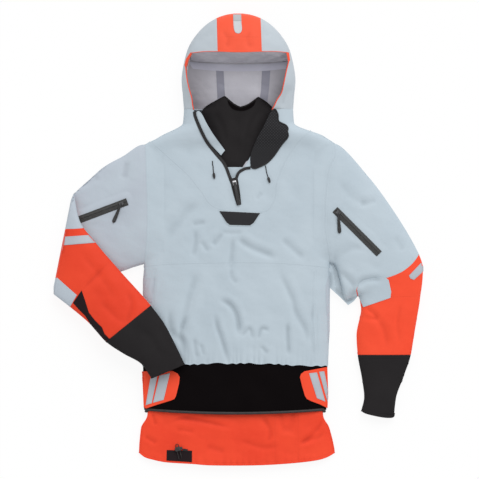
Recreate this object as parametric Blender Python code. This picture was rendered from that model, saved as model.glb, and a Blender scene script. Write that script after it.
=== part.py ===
"""Hooded paddling jacket with a double waist, laid flat on its back.

Metres, +Z up. X runs towards the jacket's arm on the right of the picture, Y from the
skirt to the hood. The jacket is drawn from the middle of its hood seam, on the floor,
and is then set down so that the origin lies under the middle of its whole box.
The left forearm is folded over the upper sleeve, the right arm is bent at the elbow.
"""

import math

import bmesh
import bpy
import numpy as np
from mathutils import Matrix, Vector
from mathutils.bvhtree import BVHTree

# Cloth, walls and clearances
CLOTH = 0.0015
NEOPRENE = 0.003
LATEX = 0.001
TRIM = 0.001
SEAM = 0.0003
REST_GAP = 0.0004
FOREARM_GAP = 0.0009
PROBE_STEP = 0.0025

# Reach of the shapes that cut through the cloth
FAR_BELOW = -0.1
FAR_ABOVE = 0.4
FAR_OUT = 0.4

# Cross-section of a garment tube that lies on the floor
EDGE_LEVEL = 0.35
TOP_POWER = 2.3
FLOOR_POWER = 5.0
FLOOR_PRESS = 1.03
SIDES = 20
ROW_STEPS = 2

# Torso, from the hood seam down to the gathered hem
BODY_LENGTH = 0.704
CHEST_SEAM_DROP = 0.434
ARMPIT_DROP = 0.421
ARMHOLE_DROP = 0.258
SHOULDER_DROP = 0.112
COLLAR_DROP = 0.036
WAIST_RISE = 0.100
HEM_WIDTH = 0.511
WAIST_WIDTH = 0.517
CHEST_WIDTH = 0.511
SHOULDER_WIDTH = 0.552
NECK_WIDTH = 0.300
HEM_SHIFT = -0.009
SHOULDER_SHIFT = 0.010
SHOULDER_TOP_SHARE = 0.985
COLLAR_SHARE = 0.535
NECK_FLARE = 1.02
HEM_HEIGHT = 0.046
WAIST_HEIGHT = 0.056
CHEST_HEIGHT = 0.062
SHOULDER_HEIGHT = 0.056
NECK_HEIGHT = 0.080

# Hood
HOOD_HEIGHT = 0.264
HOOD_WIDTH = 0.313
HOOD_DEPTH = 0.105
CROWN_START = 0.083
CROWN_LIFT = 0.014
CROWN_TURNS = (0.0, 25.0, 45.0, 60.0, 72.0, 80.0)
CROWN_ROUND = 0.55
HOOD_MIDDLE_WIDTH = 0.122
BRIM_STRIP = 0.032
BRIM_STRIP_WIDTH = 0.230
BRIM_STRIP_TAPER = 0.86
BRIM_STRIP_SHORT = 0.4
HOOD_TAB_WIDTH = 0.022
HOOD_TAB_LENGTH = 0.048
HOOD_TAB_FROM_TOP = 0.010
HOOD_TAPE_WIDTH = 0.023
HOOD_TAPE_SPAN = 0.262
HOOD_TAPE_Y = 0.122
HOOD_TAPE_LEG = 0.098

# Edge of the face opening and of the open zip, from the brim down to the zip
FACE_LEFT = [(-0.134, 0.157), (-0.147, 0.124), (-0.1415, 0.096), (-0.1335, 0.055), (-0.125, 0.014),
             (-0.1225, -0.019), (-0.1085, -0.055), (-0.0865, -0.088), (-0.0565, -0.1265),
             (-0.037, -0.151), (-0.026, -0.184)]
FACE_RIGHT = [(-0.007, -0.1815), (0.0125, -0.162), (0.0316, -0.1375), (0.0503, -0.081), (0.0674, -0.0495),
              (0.083, -0.0175), (0.092, 0.0055), (0.117, 0.0415), (0.125, 0.0715), (0.136, 0.1155),
              (0.139, 0.140), (0.136, 0.157)]
BRIM_BOW = 0.004
HOLLOW_OVERRUN = 0.2
BRIM_REACH = 0.09
ZIP_TOP = (-0.0135, -0.187)
ZIP_BOTTOM = (0.0015, -0.2615)

# Yoke seam, from the left shoulder through the point under the zip to the right shoulder
YOKE_SEAM = [(-0.300, -0.055), (-0.2434, -0.0935), (-0.183, -0.143), (-0.139, -0.1815), (-0.106, -0.223),
             (-0.059, -0.2723), (0.0646, -0.282), (0.0976, -0.250), (0.103, -0.209), (0.1224, -0.154),
             (0.158, -0.0974), (0.1994, -0.055), (0.260, 0.010)]
CHEST_PATCH = [(-0.0542, -0.2767), (0.0608, -0.2824), (0.0344, -0.319), (-0.0275, -0.3174)]
PATCH_ROWS = (-0.36, -0.24)

# Neck gaiter
GAITER_TOP = 0.036
GAITER_FOOT = -0.157
GAITER_TOP_WIDTH = 0.100
GAITER_WIDTH = 0.206
GAITER_HEIGHT = 0.050
GAITER_DIP = 0.030
GAITER_DIP_WIDTH = 0.094
GAITER_DIP_FLAT = 0.25
GAITER_FOOT_SHARE = 0.86
GAITER_CHEST_SHARE = 0.97
GAITER_LEAN = 0.92

# Zips
TAPE_WIDTH = 0.010
ZIP_TAPE_FOOT = -0.24
ZIP_TAPE_HEAD = 0.62
GUARD_WIDTH = 0.018
MAIN_TAPE = 0.022
POCKET_TAPE = 0.020
POCKET_ZIP_LENGTH = 0.172
TEETH_WIDTH = 0.006
TEETH_HEIGHT = 0.002
SLIDER_LENGTH = 0.012
SLIDER_WALL = 0.0016
PULL_THICK = 0.003
PULL_HEAD = 0.0015
PULL_LIFT = 0.0026
PULL_GAP = 0.0004
PULL_PROBE = 0.002
PULL_HEAD_SHARE = 0.36
PULL_WAIST_SHARE = 0.30
MAIN_PULL_LENGTH = 0.062
MAIN_PULL_WIDTH = 0.011
POCKET_PULL_LENGTH = 0.044
POCKET_PULL_WIDTH = 0.009
MAIN_SLIDER_AT = 0.014
LEFT_SLIDER_AT = 0.017
RIGHT_SLIDER_AT = 0.012

# Chin flap, folded open over the right side of the yoke
FLAP_FOLD = [(0.033, -0.1375), (0.088, -0.0035)]
FLAP_OUTER = [(0.1045, -0.0035), (0.1086, -0.0138), (0.1078, -0.033), (0.1251, -0.0385), (0.1361, -0.0523),
              (0.1345, -0.077), (0.1169, -0.0976), (0.0968, -0.1265), (0.077, -0.147), (0.0454, -0.161),
              (0.033, -0.158)]
FLAP_THICK = 0.002
FLAP_FOOT = -0.2
FOLD_PROBES = 12

# Sleeves: steps along the arm as (advance, heading, slant of the section, width, height)
ARM_OUT = 0.006
SHOULDER_IN = 0.020
SLEEVE_TUCK = 0.055
ARMHOLE_WIDTH = 0.332
ARMHOLE_HEIGHT = 0.046
SLEEVE_FLOOR = 0.004
ROOT_SHARE = 0.95
ROOT_LIFT = 1.5
LEFT_MID = (0.120, 204.0, 90.0, 0.308, 0.034)
LEFT_FOLD = (0.1255, 209.0, 78.7, 0.2805, 0.018)
RIGHT_MID = (0.120, -55.5, 79.0, 0.342, 0.046)
RIGHT_ELBOW = (0.146, -52.5, 23.6, 0.1945, 0.040)
SLEEVE_END_HEIGHT = 0.030
CUFF_HEIGHT = 0.027
LEFT_FOREARM = [(0.047, -69.0, 75.6, 0.2214, 0.022), (0.0546, -49.0, 68.0, 0.190, 0.026),
                (0.0865, -45.6, 60.5, 0.1675, 0.030)]
LEFT_WRIST = [(0.0975, -48.0, 39.0, 0.1585), (0.0605, -44.5, 35.0, 0.139), (0.055, -46.5, 31.0, 0.108),
              (0.057, -60.0, 23.0, 0.099)]
RIGHT_FOREARM = [(0.062, -90.0, 10.5, 0.165, 0.036), (0.0768, -99.9, 6.0, 0.1617, 0.033)]
RIGHT_WRIST = [(0.0634, -93.7, 0.0, 0.146), (0.0587, -93.5, 2.7, 0.117), (0.0583, -97.6, -2.4, 0.088),
               (0.044, -99.0, -5.6, 0.091)]
SEAL_REACH = 0.62
ELBOW_PIVOT_BACK = (-0.0193, 0.099)
ELBOW_RADIUS = 0.091
ELBOW_SWEEP = 102.0
ELBOW_ROWS = (1.8, 4.2)
ELBOW_FAR = 0.3
ELBOW_FAR_IN = 0.5
ELBOW_INNER = [(-0.099, -0.025), (-0.110, -0.083)]

# Bands, patches and gusset on the forearms, from the middle of the fold or the elbow
LEFT_BAND = [(0.002, 0.021), (0.068, 0.0248), (0.088, 0.004), (-0.001, -0.003)]
LEFT_INSERT = [(-0.0175, -0.0943), (0.0366, -0.141), (0.0173, -0.1727), (-0.0262, -0.1394)]
LEFT_GUSSET = [(0.049, -0.1265), (0.0605, -0.1678), (0.0853, -0.2008), (0.109, -0.231), (0.1145, -0.2475),
               (0.1005, -0.251), (0.0674, -0.211), (0.0239, -0.165)]
RIGHT_BAND = [(0.0825, 0.0577), (0.044, 0.0165), (0.0597, 0.009), (0.0866, 0.033)]
RIGHT_INSERT = [(-0.088, -0.0275), (-0.040, -0.008), (-0.0135, -0.0065), (-0.0055, -0.021),
                (-0.0066, -0.0413), (-0.079, -0.064), (-0.087, -0.045)]

# Pockets on the upper sleeves, from the armhole's middle
LEFT_ZIP_START = (-0.044, 0.006)
LEFT_ZIP_HEADING = 200.6
LEFT_PULL_HEADING = 247.0
RIGHT_ZIP_START = (0.0035, -0.016)
RIGHT_ZIP_HEADING = -45.0
RIGHT_PULL_HEADING = -86.0
POCKET_DEPTH = 0.085
POCKET_MARGIN = 0.008
POCKET_FAR_MARGIN = 0.030

# Waistband, the inner skirt and the tabs, whose places run inwards from the side of the hem
BAND_OVERLAP = 0.014
BAND_LENGTH = 0.1195
BAND_DRAW = 0.008
BAND_END_HEIGHT = 0.040
GRIP_LENGTH = 0.010
TAB_THICK = 0.002
LEFT_TAB_FOLD = [(0.057, -0.0285), (0.037, -0.1035)]
RIGHT_TAB_FOLD = [(0.0495, -0.0165), (0.025, -0.100)]
LEFT_TAB_SIDE = [(0.0025, -0.1205), (0.0025, -0.0165), (0.053, -0.0165)]
RIGHT_TAB_SIDE = [(-0.0095, -0.120), (-0.0095, -0.0075)]
LEFT_TAB_TIP = [(0.0385, -0.1045), (0.0815, -0.0975), (0.0915, -0.0895), (0.1005, -0.0475), (0.103, -0.0335),
                (0.0965, -0.0275)]
RIGHT_TAB_TIP = [(0.0285, -0.099), (0.0475, -0.0985), (0.0625, -0.0885), (0.072, -0.055), (0.078, -0.032),
                 (0.0665, -0.018)]
STRIPE_WIDTH = 0.046
STRIPE_GROOVE = 0.004
STRIPE_THICK = 0.0012
STRIPE_SPLIT = 0.55
STRIPE_CLEAR = 0.01
STRIPE_INSET = 0.02
SKIRT_INSET = 0.008
SKIRT_DRAW = 0.028
SKIRT_FLARE = 0.028
SKIRT_LENGTH = 0.1505
SKIRT_END_HEIGHT = 0.024
SKIRT_BOW = 0.030
SKIRT_FOOT_SHARE = 0.985
SKIRT_WIDE_AT = 0.8
SKIRT_FLARE_AT = 0.35
SKIRT_SEAM_AT = 0.4
ELASTIC_WIDTH = 0.010
BAND_TUCK = CLOTH + SEAM
SKIRT_TUCK = BAND_TUCK + NEOPRENE + SEAM

# Hem drawcord at the skirt
PATCH_AT = (-0.163, 0.028)
PATCH_SIZE = (0.069, 0.031)
LOCK_SIZE = (0.017, 0.012, 0.0085)
LOCK_ROUND = 0.22
LOCK_HEADING = 104.0
LOCK_FROM_PATCH = 0.014
CORD_SPACING = 0.008
CORD_FOOT = 0.027
CORD_RISE = 0.010
CORD_REACH = 0.010
HEM_CORD = 0.002
CORD_BORE = 0.0029
BUTTON_LENGTH = 0.007
BUTTON_WIDTH = 0.007
BUTTON_OUT = 0.004
BUTTON_TRAVEL = 0.0036
BUTTON_HEIGHT = 0.00425
BUTTON_PLAY = 0.0004

# Hood drawcords: route of each cord over the yoke, from its exit to its end piece
HOOD_CORD = 0.0025
LEFT_CORD = [(-0.0715, -0.1405), (-0.0712, -0.148), (-0.0698, -0.156), (-0.0695, -0.164), (-0.0682, -0.1735)]
RIGHT_CORD = [(0.0735, -0.1525), (0.0752, -0.160), (0.0765, -0.168), (0.0782, -0.176), (0.0812, -0.185)]
CORD_END_LENGTH = 0.016
CORD_END_WIDTH = 0.0075
CORD_END_SHAPE = ((0.02, 0.34), (0.25, 0.5), (0.75, 0.42), (1.0, 0.22))

# Finishes: colour, roughness, metallic
SHELL_GREY = ((0.47, 0.55, 0.62), 0.75, 0.0)
SHELL_ORANGE = ((0.93, 0.10, 0.045), 0.72, 0.0)
NEOPRENE_BLACK = ((0.020, 0.019, 0.020), 0.85, 0.0)
LINING = ((0.38, 0.37, 0.42), 0.8, 0.0)
SEAM_TAPE = ((0.21, 0.22, 0.27), 0.45, 0.0)
REFLECTIVE = ((0.52, 0.56, 0.62), 0.35, 0.2)
ZIP_BLACK = ((0.030, 0.029, 0.028), 0.55, 0.0)
METAL = ((0.55, 0.55, 0.55), 0.3, 1.0)
RUBBER = ((0.045, 0.045, 0.045), 0.6, 0.0)
LATEX_BLACK = ((0.025, 0.024, 0.024), 0.45, 0.0)

TAU = 2.0 * math.pi


def clear_scene():
    for thing in list(bpy.data.objects):
        bpy.data.objects.remove(thing, do_unlink=True)


def finish(name, look):
    colour, roughness, metallic = look
    material = bpy.data.materials.new(name)
    material.use_nodes = True
    shader = material.node_tree.nodes["Principled BSDF"]
    shader.inputs["Base Color"].default_value = (*colour, 1.0)
    shader.inputs["Roughness"].default_value = roughness
    shader.inputs["Metallic"].default_value = metallic
    return material


def joint_frame(name, parent, place):
    """An empty on a joint's axis; the pieces that move together hang from it."""
    empty = bpy.data.objects.new(name, None)
    bpy.context.scene.collection.objects.link(empty)
    empty.location = Vector(place) - frame_origin(parent)
    empty.parent = parent
    return empty


def frame_origin(empty):
    origin = Vector((0.0, 0.0, 0.0))
    while empty is not None:
        origin += empty.location
        empty = empty.parent
    return origin


def add_piece(name, mesh, look, parent):
    """Link a mesh drawn in jacket coordinates under the empty that carries it."""
    mesh.materials.append(finish(name + "_finish", look))
    mesh.transform(Matrix.Translation(-frame_origin(parent)))
    mesh.shade_smooth()
    mesh.set_sharp_from_angle(angle=math.radians(40.0))
    piece = bpy.data.objects.new(name, mesh)
    bpy.context.scene.collection.objects.link(piece)
    piece.parent = parent
    return piece


def add_cutter(name, mesh):
    cutter = bpy.data.objects.new(name, mesh)
    bpy.context.scene.collection.objects.link(cutter)
    cutter.parent = JACKET
    cutter.hide_render = True
    cutter.display_type = "WIRE"
    return cutter


def carve(piece, cutter, operation):
    step = piece.modifiers.new(operation.lower() + "_" + cutter.name, "BOOLEAN")
    step.operation = operation
    step.object = cutter
    return piece


def mesh_of(name, points, faces):
    shape = bmesh.new()
    corners = [shape.verts.new(point) for point in points]
    for face in faces:
        shape.faces.new([corners[index] for index in face])
    bmesh.ops.recalc_face_normals(shape, faces=shape.faces)
    mesh = bpy.data.meshes.new(name)
    shape.to_mesh(mesh)
    shape.free()
    return mesh


def curved_steps(values, where):
    """Value at a place between rows, by a cubic that never overshoots its rows."""
    values = np.asarray(values, dtype=float)
    index = int(min(max(math.floor(where), 0), len(values) - 2))
    share = where - index
    rises = np.diff(values, axis=0)

    def slope(row):
        if row == 0 or row == len(values) - 1:
            return rises[min(row, len(rises) - 1)]
        before, after = rises[row - 1], rises[row]
        product = before * after
        total = np.where(np.abs(before + after) < 1e-12, 1.0, before + after)
        return np.where(product > 0.0, 2.0 * product / total, 0.0)

    start, stop = values[index], values[index + 1]
    leave, arrive = slope(index), slope(index + 1)
    square, cube = share * share, share * share * share
    return ((2 * cube - 3 * square + 1) * start + (cube - 2 * square + share) * leave
            + (3 * square - 2 * cube) * stop + (cube - square) * arrive)


class Tube:
    """A garment tube: flattened sections between two edges, swept from row to row."""

    def __init__(self, rows):
        self.rows = np.array([[a[0], a[1], b[0], b[1], low, high] for a, b, low, high in rows])
        self.last = len(rows) - 1

    def places(self, start, stop):
        """Row places from start to stop on the grid that every wall of the tube shares."""
        inside = range(math.floor(start * ROW_STEPS) + 1, math.ceil(stop * ROW_STEPS))
        return [start] + [step / ROW_STEPS for step in inside] + [stop]

    def turns(self, first, last):
        """Angles from first to last on the grid that every wall of the tube shares."""
        cell = TAU / SIDES
        inside = range(math.floor(first / cell + 1e-6) + 1, math.ceil(last / cell - 1e-6))
        return [first] + [cell * step for step in inside] + [last]

    def point(self, where, angle, grow):
        ax, ay, bx, by, low, high = curved_steps(self.rows, where)
        middle = np.array([(ax + bx) / 2, (ay + by) / 2])
        across = np.array([(ax - bx) / 2, (ay - by) / 2])
        half = math.hypot(*across)
        edge = low + EDGE_LEVEL * (high - low)
        side, rise = math.cos(angle), math.sin(angle)
        power = TOP_POWER if rise >= 0.0 else FLOOR_POWER
        reach = (high - edge if rise >= 0.0 else edge - low) + grow
        along = math.copysign(abs(side) ** (2 / power), side) * (half + grow)
        place = middle + across / half * along
        lift = abs(rise) ** (2 / power)
        if rise < 0.0:
            lift = -min(lift * FLOOR_PRESS, 1.0)
        return Vector((place[0], place[1], edge + lift * reach))

    def where_y(self, y):
        """Row place at which a tube with level rows crosses the given y."""
        low, high = 0.0, float(self.last)
        rising = self.rows[-1][1] > self.rows[0][1]
        for _ in range(40):
            middle = (low + high) / 2
            if (curved_steps(self.rows, middle)[1] < y) == rising:
                low = middle
            else:
                high = middle
        return (low + high) / 2

    def outside(self, grow):
        """Search tree of the outer surface, for laying other pieces on it."""
        return tree_of(filled_mesh("outside", self, 0.0, self.last, grow))


def tree_of(mesh):
    points = [vertex.co.copy() for vertex in mesh.vertices]
    return BVHTree.FromPolygons(points, [tuple(face.vertices) for face in mesh.polygons])


def skin_mesh(name, tube, start, stop, inner, outer, first=0.0, last=TAU):
    """A wall between two offsets of a tube, all round it or over a range of angles."""
    whole = last - first >= TAU - 1e-9
    places, turns = tube.places(start, stop), tube.turns(first, last)
    if whole:
        turns = turns[:-1]
    rows, columns = len(places), len(turns)
    points = [tube.point(where, angle, grow)
              for grow in (inner, outer) for where in places for angle in turns]
    faces = []

    def spot(level, row, turn):
        return (level * rows + row) * columns + turn % columns

    cells = columns if whole else columns - 1
    for row in range(rows - 1):
        for turn in range(cells):
            for level in (0, 1):
                low, high = spot(level, row, turn), spot(level, row + 1, turn + 1)
                faces.append((low, spot(level, row, turn + 1), high))
                faces.append((low, high, spot(level, row + 1, turn)))
    for row in (0, rows - 1):
        for turn in range(cells):
            faces.append([spot(0, row, turn), spot(0, row, turn + 1),
                          spot(1, row, turn + 1), spot(1, row, turn)])
    if not whole:
        for turn in (0, cells):
            for row in range(rows - 1):
                faces.append([spot(0, row, turn), spot(0, row + 1, turn),
                              spot(1, row + 1, turn), spot(1, row, turn)])
    return mesh_of(name, points, faces)


def filled_mesh(name, tube, start, stop, grow):
    """A tube filled from end to end, as a cutter or as the outside of a closed hood."""
    places, turns = tube.places(start, stop), tube.turns(0.0, TAU)[:-1]
    rows, sides = len(places), len(turns)
    points = [tube.point(where, angle, grow) for where in places for angle in turns]
    faces = [list(range(sides)), [(rows - 1) * sides + turn for turn in range(sides)]]
    for row in range(rows - 1):
        for turn in range(sides):
            after = (turn + 1) % sides
            low, high = row * sides + turn, (row + 1) * sides + after
            faces.append((low, row * sides + after, high))
            faces.append((low, high, (row + 1) * sides + turn))
    return mesh_of(name, points, faces)


def prism_mesh(name, outline, low, high):
    count = len(outline)
    points = [(x, y, low) for x, y in outline] + [(x, y, high) for x, y in outline]
    faces = [list(range(count)), [count + index for index in range(count)]]
    for index in range(count):
        after = (index + 1) % count
        faces.append([index, after, count + after, count + index])
    return mesh_of(name, points, faces)


def box_mesh(name, low, high):
    return prism_mesh(name, [(low[0], low[1]), (high[0], low[1]), (high[0], high[1]), (low[0], high[1])],
                      low[2], high[2])


def strip(path, left, right):
    """Outline of a strip along a path, reaching left and right of it."""
    sides = [[], []]
    for index, place in enumerate(path):
        before = Vector(path[max(index - 1, 0)])
        after = Vector(path[min(index + 1, len(path) - 1)])
        run = (after - before).normalized()
        normal = Vector((-run.y, run.x))
        sides[0].append(tuple(Vector(place) + normal * left))
        sides[1].append(tuple(Vector(place) - normal * right))
    return sides[0] + sides[1][::-1]


def moved(outline, by):
    return [(x + by[0], y + by[1]) for x, y in outline]


def heading(degrees):
    return Vector((math.cos(math.radians(degrees)), math.sin(math.radians(degrees))))


def height_at(trees, x, y):
    """Height of the highest surface under a point, or the floor."""
    best = 0.0
    for tree in trees:
        hit = tree.ray_cast(Vector((x, y, 1.0)), Vector((0.0, 0.0, -1.0)))[0]
        if hit is not None:
            best = max(best, hit.z)
    return best


# Tubes that the pieces are cut from

def level_row(y, width, low, high, shift=0.0):
    return ((shift + width / 2, y), (shift - width / 2, y), low, high)


def torso_tube():
    return Tube([
        level_row(-BODY_LENGTH, HEM_WIDTH, 0.0, HEM_HEIGHT, HEM_SHIFT),
        level_row(-BODY_LENGTH + WAIST_RISE, WAIST_WIDTH, 0.0, WAIST_HEIGHT, HEM_SHIFT),
        level_row(-ARMPIT_DROP, CHEST_WIDTH, 0.0, CHEST_HEIGHT, HEM_SHIFT / 2),
        level_row(-ARMHOLE_DROP, SHOULDER_WIDTH, 0.0, CHEST_HEIGHT),
        level_row(-SHOULDER_DROP, SHOULDER_WIDTH * SHOULDER_TOP_SHARE, 0.0, SHOULDER_HEIGHT,
                  SHOULDER_SHIFT / 3),
        level_row(-(SHOULDER_DROP + COLLAR_DROP) / 2, (SHOULDER_WIDTH + NECK_WIDTH) * COLLAR_SHARE, 0.0,
                  (SHOULDER_HEIGHT + NECK_HEIGHT) / 2, SHOULDER_SHIFT),
        level_row(-COLLAR_DROP, NECK_WIDTH * NECK_FLARE, 0.0, NECK_HEIGHT),
        level_row(0.0, NECK_WIDTH, 0.0, NECK_HEIGHT),
    ])


def hood_tube(inset):
    """Hood from its seam to the crown, which closes on an elliptic outline."""
    rise = (HOOD_HEIGHT - CROWN_START) / math.sin(math.radians(CROWN_TURNS[-1])) - inset
    rows = [level_row(-inset, NECK_WIDTH - 2 * inset, inset, NECK_HEIGHT - inset),
            level_row(CROWN_START / 2, (NECK_WIDTH + HOOD_WIDTH) / 2 - 2 * inset, inset,
                      (NECK_HEIGHT + HOOD_DEPTH) / 2 - inset)]
    for turn in CROWN_TURNS:
        close = math.cos(math.radians(turn))
        y = CROWN_START + rise * math.sin(math.radians(turn))
        low = CROWN_LIFT * (1.0 - close)
        rows.append(level_row(y, (HOOD_WIDTH - 2 * inset) * close, low + inset,
                              low + HOOD_DEPTH * close ** CROWN_ROUND - inset))
    return Tube(rows)


def arm_rows(start, steps, floor=0.0):
    rows, place = [], Vector(start)
    for advance, bearing, slant, width, height in steps:
        place = place + heading(bearing) * advance
        half = heading(slant) * width / 2
        rows.append((tuple(place + half), tuple(place - half), floor, floor + height))
    return rows


def sleeve_root(side):
    """Two rows that begin a sleeve inside the torso, and the armhole's middle."""
    middle = Vector((side * (CHEST_WIDTH / 2 + ARM_OUT), -ARMHOLE_DROP))
    half = Vector((0.0, ARMHOLE_WIDTH / 2))
    tuck = Vector((-side * SLEEVE_TUCK, 0.0))
    rows = [(tuple(middle + tuck + half * ROOT_SHARE), tuple(middle + tuck - half * ROOT_SHARE),
             SLEEVE_FLOOR * ROOT_LIFT, SLEEVE_FLOOR * ROOT_LIFT + ARMHOLE_HEIGHT * ROOT_SHARE),
            (tuple(middle + half), tuple(middle - half), SLEEVE_FLOOR, SLEEVE_FLOOR + ARMHOLE_HEIGHT)]
    return rows, middle


def cuff_steps(wrist):
    heights = [SLEEVE_END_HEIGHT] + [CUFF_HEIGHT] * (len(wrist) - 1)
    return [(*step, height) for step, height in zip(wrist, heights)]


def left_upper_tube():
    rows, middle = sleeve_root(-1.0)
    return Tube(rows + arm_rows(middle, [LEFT_MID, LEFT_FOLD])), middle


def left_fold_middle(middle):
    return middle + heading(LEFT_MID[1]) * LEFT_MID[0] + heading(LEFT_FOLD[1]) * LEFT_FOLD[0]


def gaps_below(tube, trees):
    """Gaps between a tube's underside and what lies below it, over a fine grid."""
    outside = tube.outside(0.0)
    low, high = tube.rows[:, :4].min(axis=0), tube.rows[:, :4].max(axis=0)
    left, right = min(low[0], low[2]), max(high[0], high[2])
    foot, top = min(low[1], low[3]), max(high[1], high[3])
    for x in np.arange(left, right, PROBE_STEP):
        for y in np.arange(foot, top, PROBE_STEP):
            hit = outside.ray_cast(Vector((x, y, -1.0)), Vector((0.0, 0.0, 1.0)))[0]
            if hit is not None:
                yield hit.z - height_at(trees, x, y)


def left_lower_tube(fold, trees):
    """Folded forearm and cuff, settled on the sleeve, torso and waistband below."""
    first = (0.0, 0.0, LEFT_FOLD[2], LEFT_FOLD[3], LEFT_FOLD[4])
    tube = Tube(arm_rows(fold, [first] + LEFT_FOREARM + cuff_steps(LEFT_WRIST)))
    heights = tube.rows[:, 5] - tube.rows[:, 4]
    for row in range(tube.last + 1):
        floor = 0.0
        for near in (-0.5, -0.25, 0.0, 0.25, 0.5):
            where = min(max(row + near, 0.0), tube.last)
            for share in range(9):
                angle = math.pi * (1.08 + 0.84 * share / 8)
                spot = tube.point(where, angle, 0.0)
                floor = max(floor, height_at(trees, spot.x, spot.y))
        tube.rows[row, 4] = floor
        tube.rows[row, 5] = floor + heights[row]
    tube.rows[0, 4:6] = [LEFT_FOLD[4], LEFT_FOLD[4] + heights[0]]
    least = min(gaps_below(tube, trees))
    tube.rows[:, 4:6] += FOREARM_GAP - least
    return tube


def right_arm_tube():
    rows, middle = sleeve_root(1.0)
    steps = [RIGHT_MID, RIGHT_ELBOW] + RIGHT_FOREARM + cuff_steps(RIGHT_WRIST)
    elbow = middle + heading(RIGHT_MID[1]) * RIGHT_MID[0] + heading(RIGHT_ELBOW[1]) * RIGHT_ELBOW[0]
    return Tube(rows + arm_rows(middle, steps)), middle, elbow


def band_tube():
    """Outside of the waistband, drawn at the torso's own hem so that it tucks in under it."""
    end = -BODY_LENGTH - BAND_LENGTH
    wide = HEM_WIDTH - BAND_DRAW + 2 * BAND_TUCK
    high = BAND_END_HEIGHT + BAND_TUCK
    return Tube([
        level_row(end - GRIP_LENGTH - SEAM, wide - GRIP_LENGTH / 4, 0.0, high, HEM_SHIFT),
        level_row(end, wide, 0.0, high, HEM_SHIFT),
        level_row(-BODY_LENGTH - BAND_LENGTH / 2, (wide + HEM_WIDTH) / 2 + BAND_TUCK, 0.0,
                  (high + HEM_HEIGHT) / 2, HEM_SHIFT),
        level_row(-BODY_LENGTH, HEM_WIDTH, 0.0, HEM_HEIGHT, HEM_SHIFT),
        level_row(-BODY_LENGTH + BAND_OVERLAP, HEM_WIDTH, 0.0, HEM_HEIGHT, HEM_SHIFT),
    ])


def skirt_tube():
    """Inner skirt: sewn in behind the band, then clear of it so that a deck tube fits between."""
    end = -BODY_LENGTH - BAND_LENGTH
    neck = HEM_WIDTH - SKIRT_DRAW + 2 * SKIRT_TUCK
    wide = HEM_WIDTH + SKIRT_FLARE + 2 * SKIRT_TUCK
    low, high = SKIRT_INSET, BAND_END_HEIGHT - NEOPRENE - SKIRT_INSET + SKIRT_TUCK
    foot, foot_high = -SKIRT_TUCK, SKIRT_END_HEIGHT + SKIRT_TUCK
    return Tube([
        level_row(end - SKIRT_LENGTH, wide * SKIRT_FOOT_SHARE, foot, foot_high, HEM_SHIFT / 2),
        level_row(end - SKIRT_LENGTH * SKIRT_WIDE_AT, wide, foot, foot_high, HEM_SHIFT / 2),
        level_row(end - SKIRT_LENGTH * SKIRT_FLARE_AT, (wide + neck) / 2 + SKIRT_INSET, foot, high,
                  HEM_SHIFT),
        level_row(end - GRIP_LENGTH, neck, low, high, HEM_SHIFT),
        level_row(-BODY_LENGTH - BAND_OVERLAP, neck, low, high, HEM_SHIFT),
        level_row(-BODY_LENGTH + BAND_OVERLAP * SKIRT_SEAM_AT, HEM_WIDTH, 0.0, HEM_HEIGHT, HEM_SHIFT),
        level_row(-BODY_LENGTH + BAND_OVERLAP, HEM_WIDTH, 0.0, HEM_HEIGHT, HEM_SHIFT),
    ])


def gaiter_tube():
    low = CLOTH + SEAM
    high = GAITER_HEIGHT
    return Tube([
        level_row(GAITER_FOOT, GAITER_WIDTH * GAITER_FOOT_SHARE, low, high),
        level_row(GAITER_FOOT / 2, GAITER_WIDTH * GAITER_CHEST_SHARE, low, high),
        level_row(-GAITER_TOP / 3, GAITER_WIDTH, low, high),
        level_row(GAITER_TOP / 3, (GAITER_WIDTH + GAITER_TOP_WIDTH) / 2, low * 2, high),
        level_row(GAITER_TOP, GAITER_TOP_WIDTH, low * 3, high * GAITER_LEAN),
    ])


# Sub-parts: torso

def face_outline():
    brim = [(x, FACE_RIGHT[-1][1] + BRIM_BOW) for x in (BRIM_REACH, 0.0, -BRIM_REACH)]
    return FACE_LEFT + FACE_RIGHT + brim


def opening_cutter():
    mesh = prism_mesh("opening_cutter", face_outline(), EDGE_LEVEL * NECK_HEIGHT, FAR_ABOVE)
    return add_cutter("opening_cutter", mesh)


def yoke_outline(grow):
    """Everything above the yoke seam; grow pushes the seam down to leave its gap."""
    seam = strip(YOKE_SEAM, 0.0, grow)[len(YOKE_SEAM):][::-1] if grow else list(YOKE_SEAM)
    return seam + [(FAR_OUT, FAR_OUT), (-FAR_OUT, FAR_OUT)]


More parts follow.
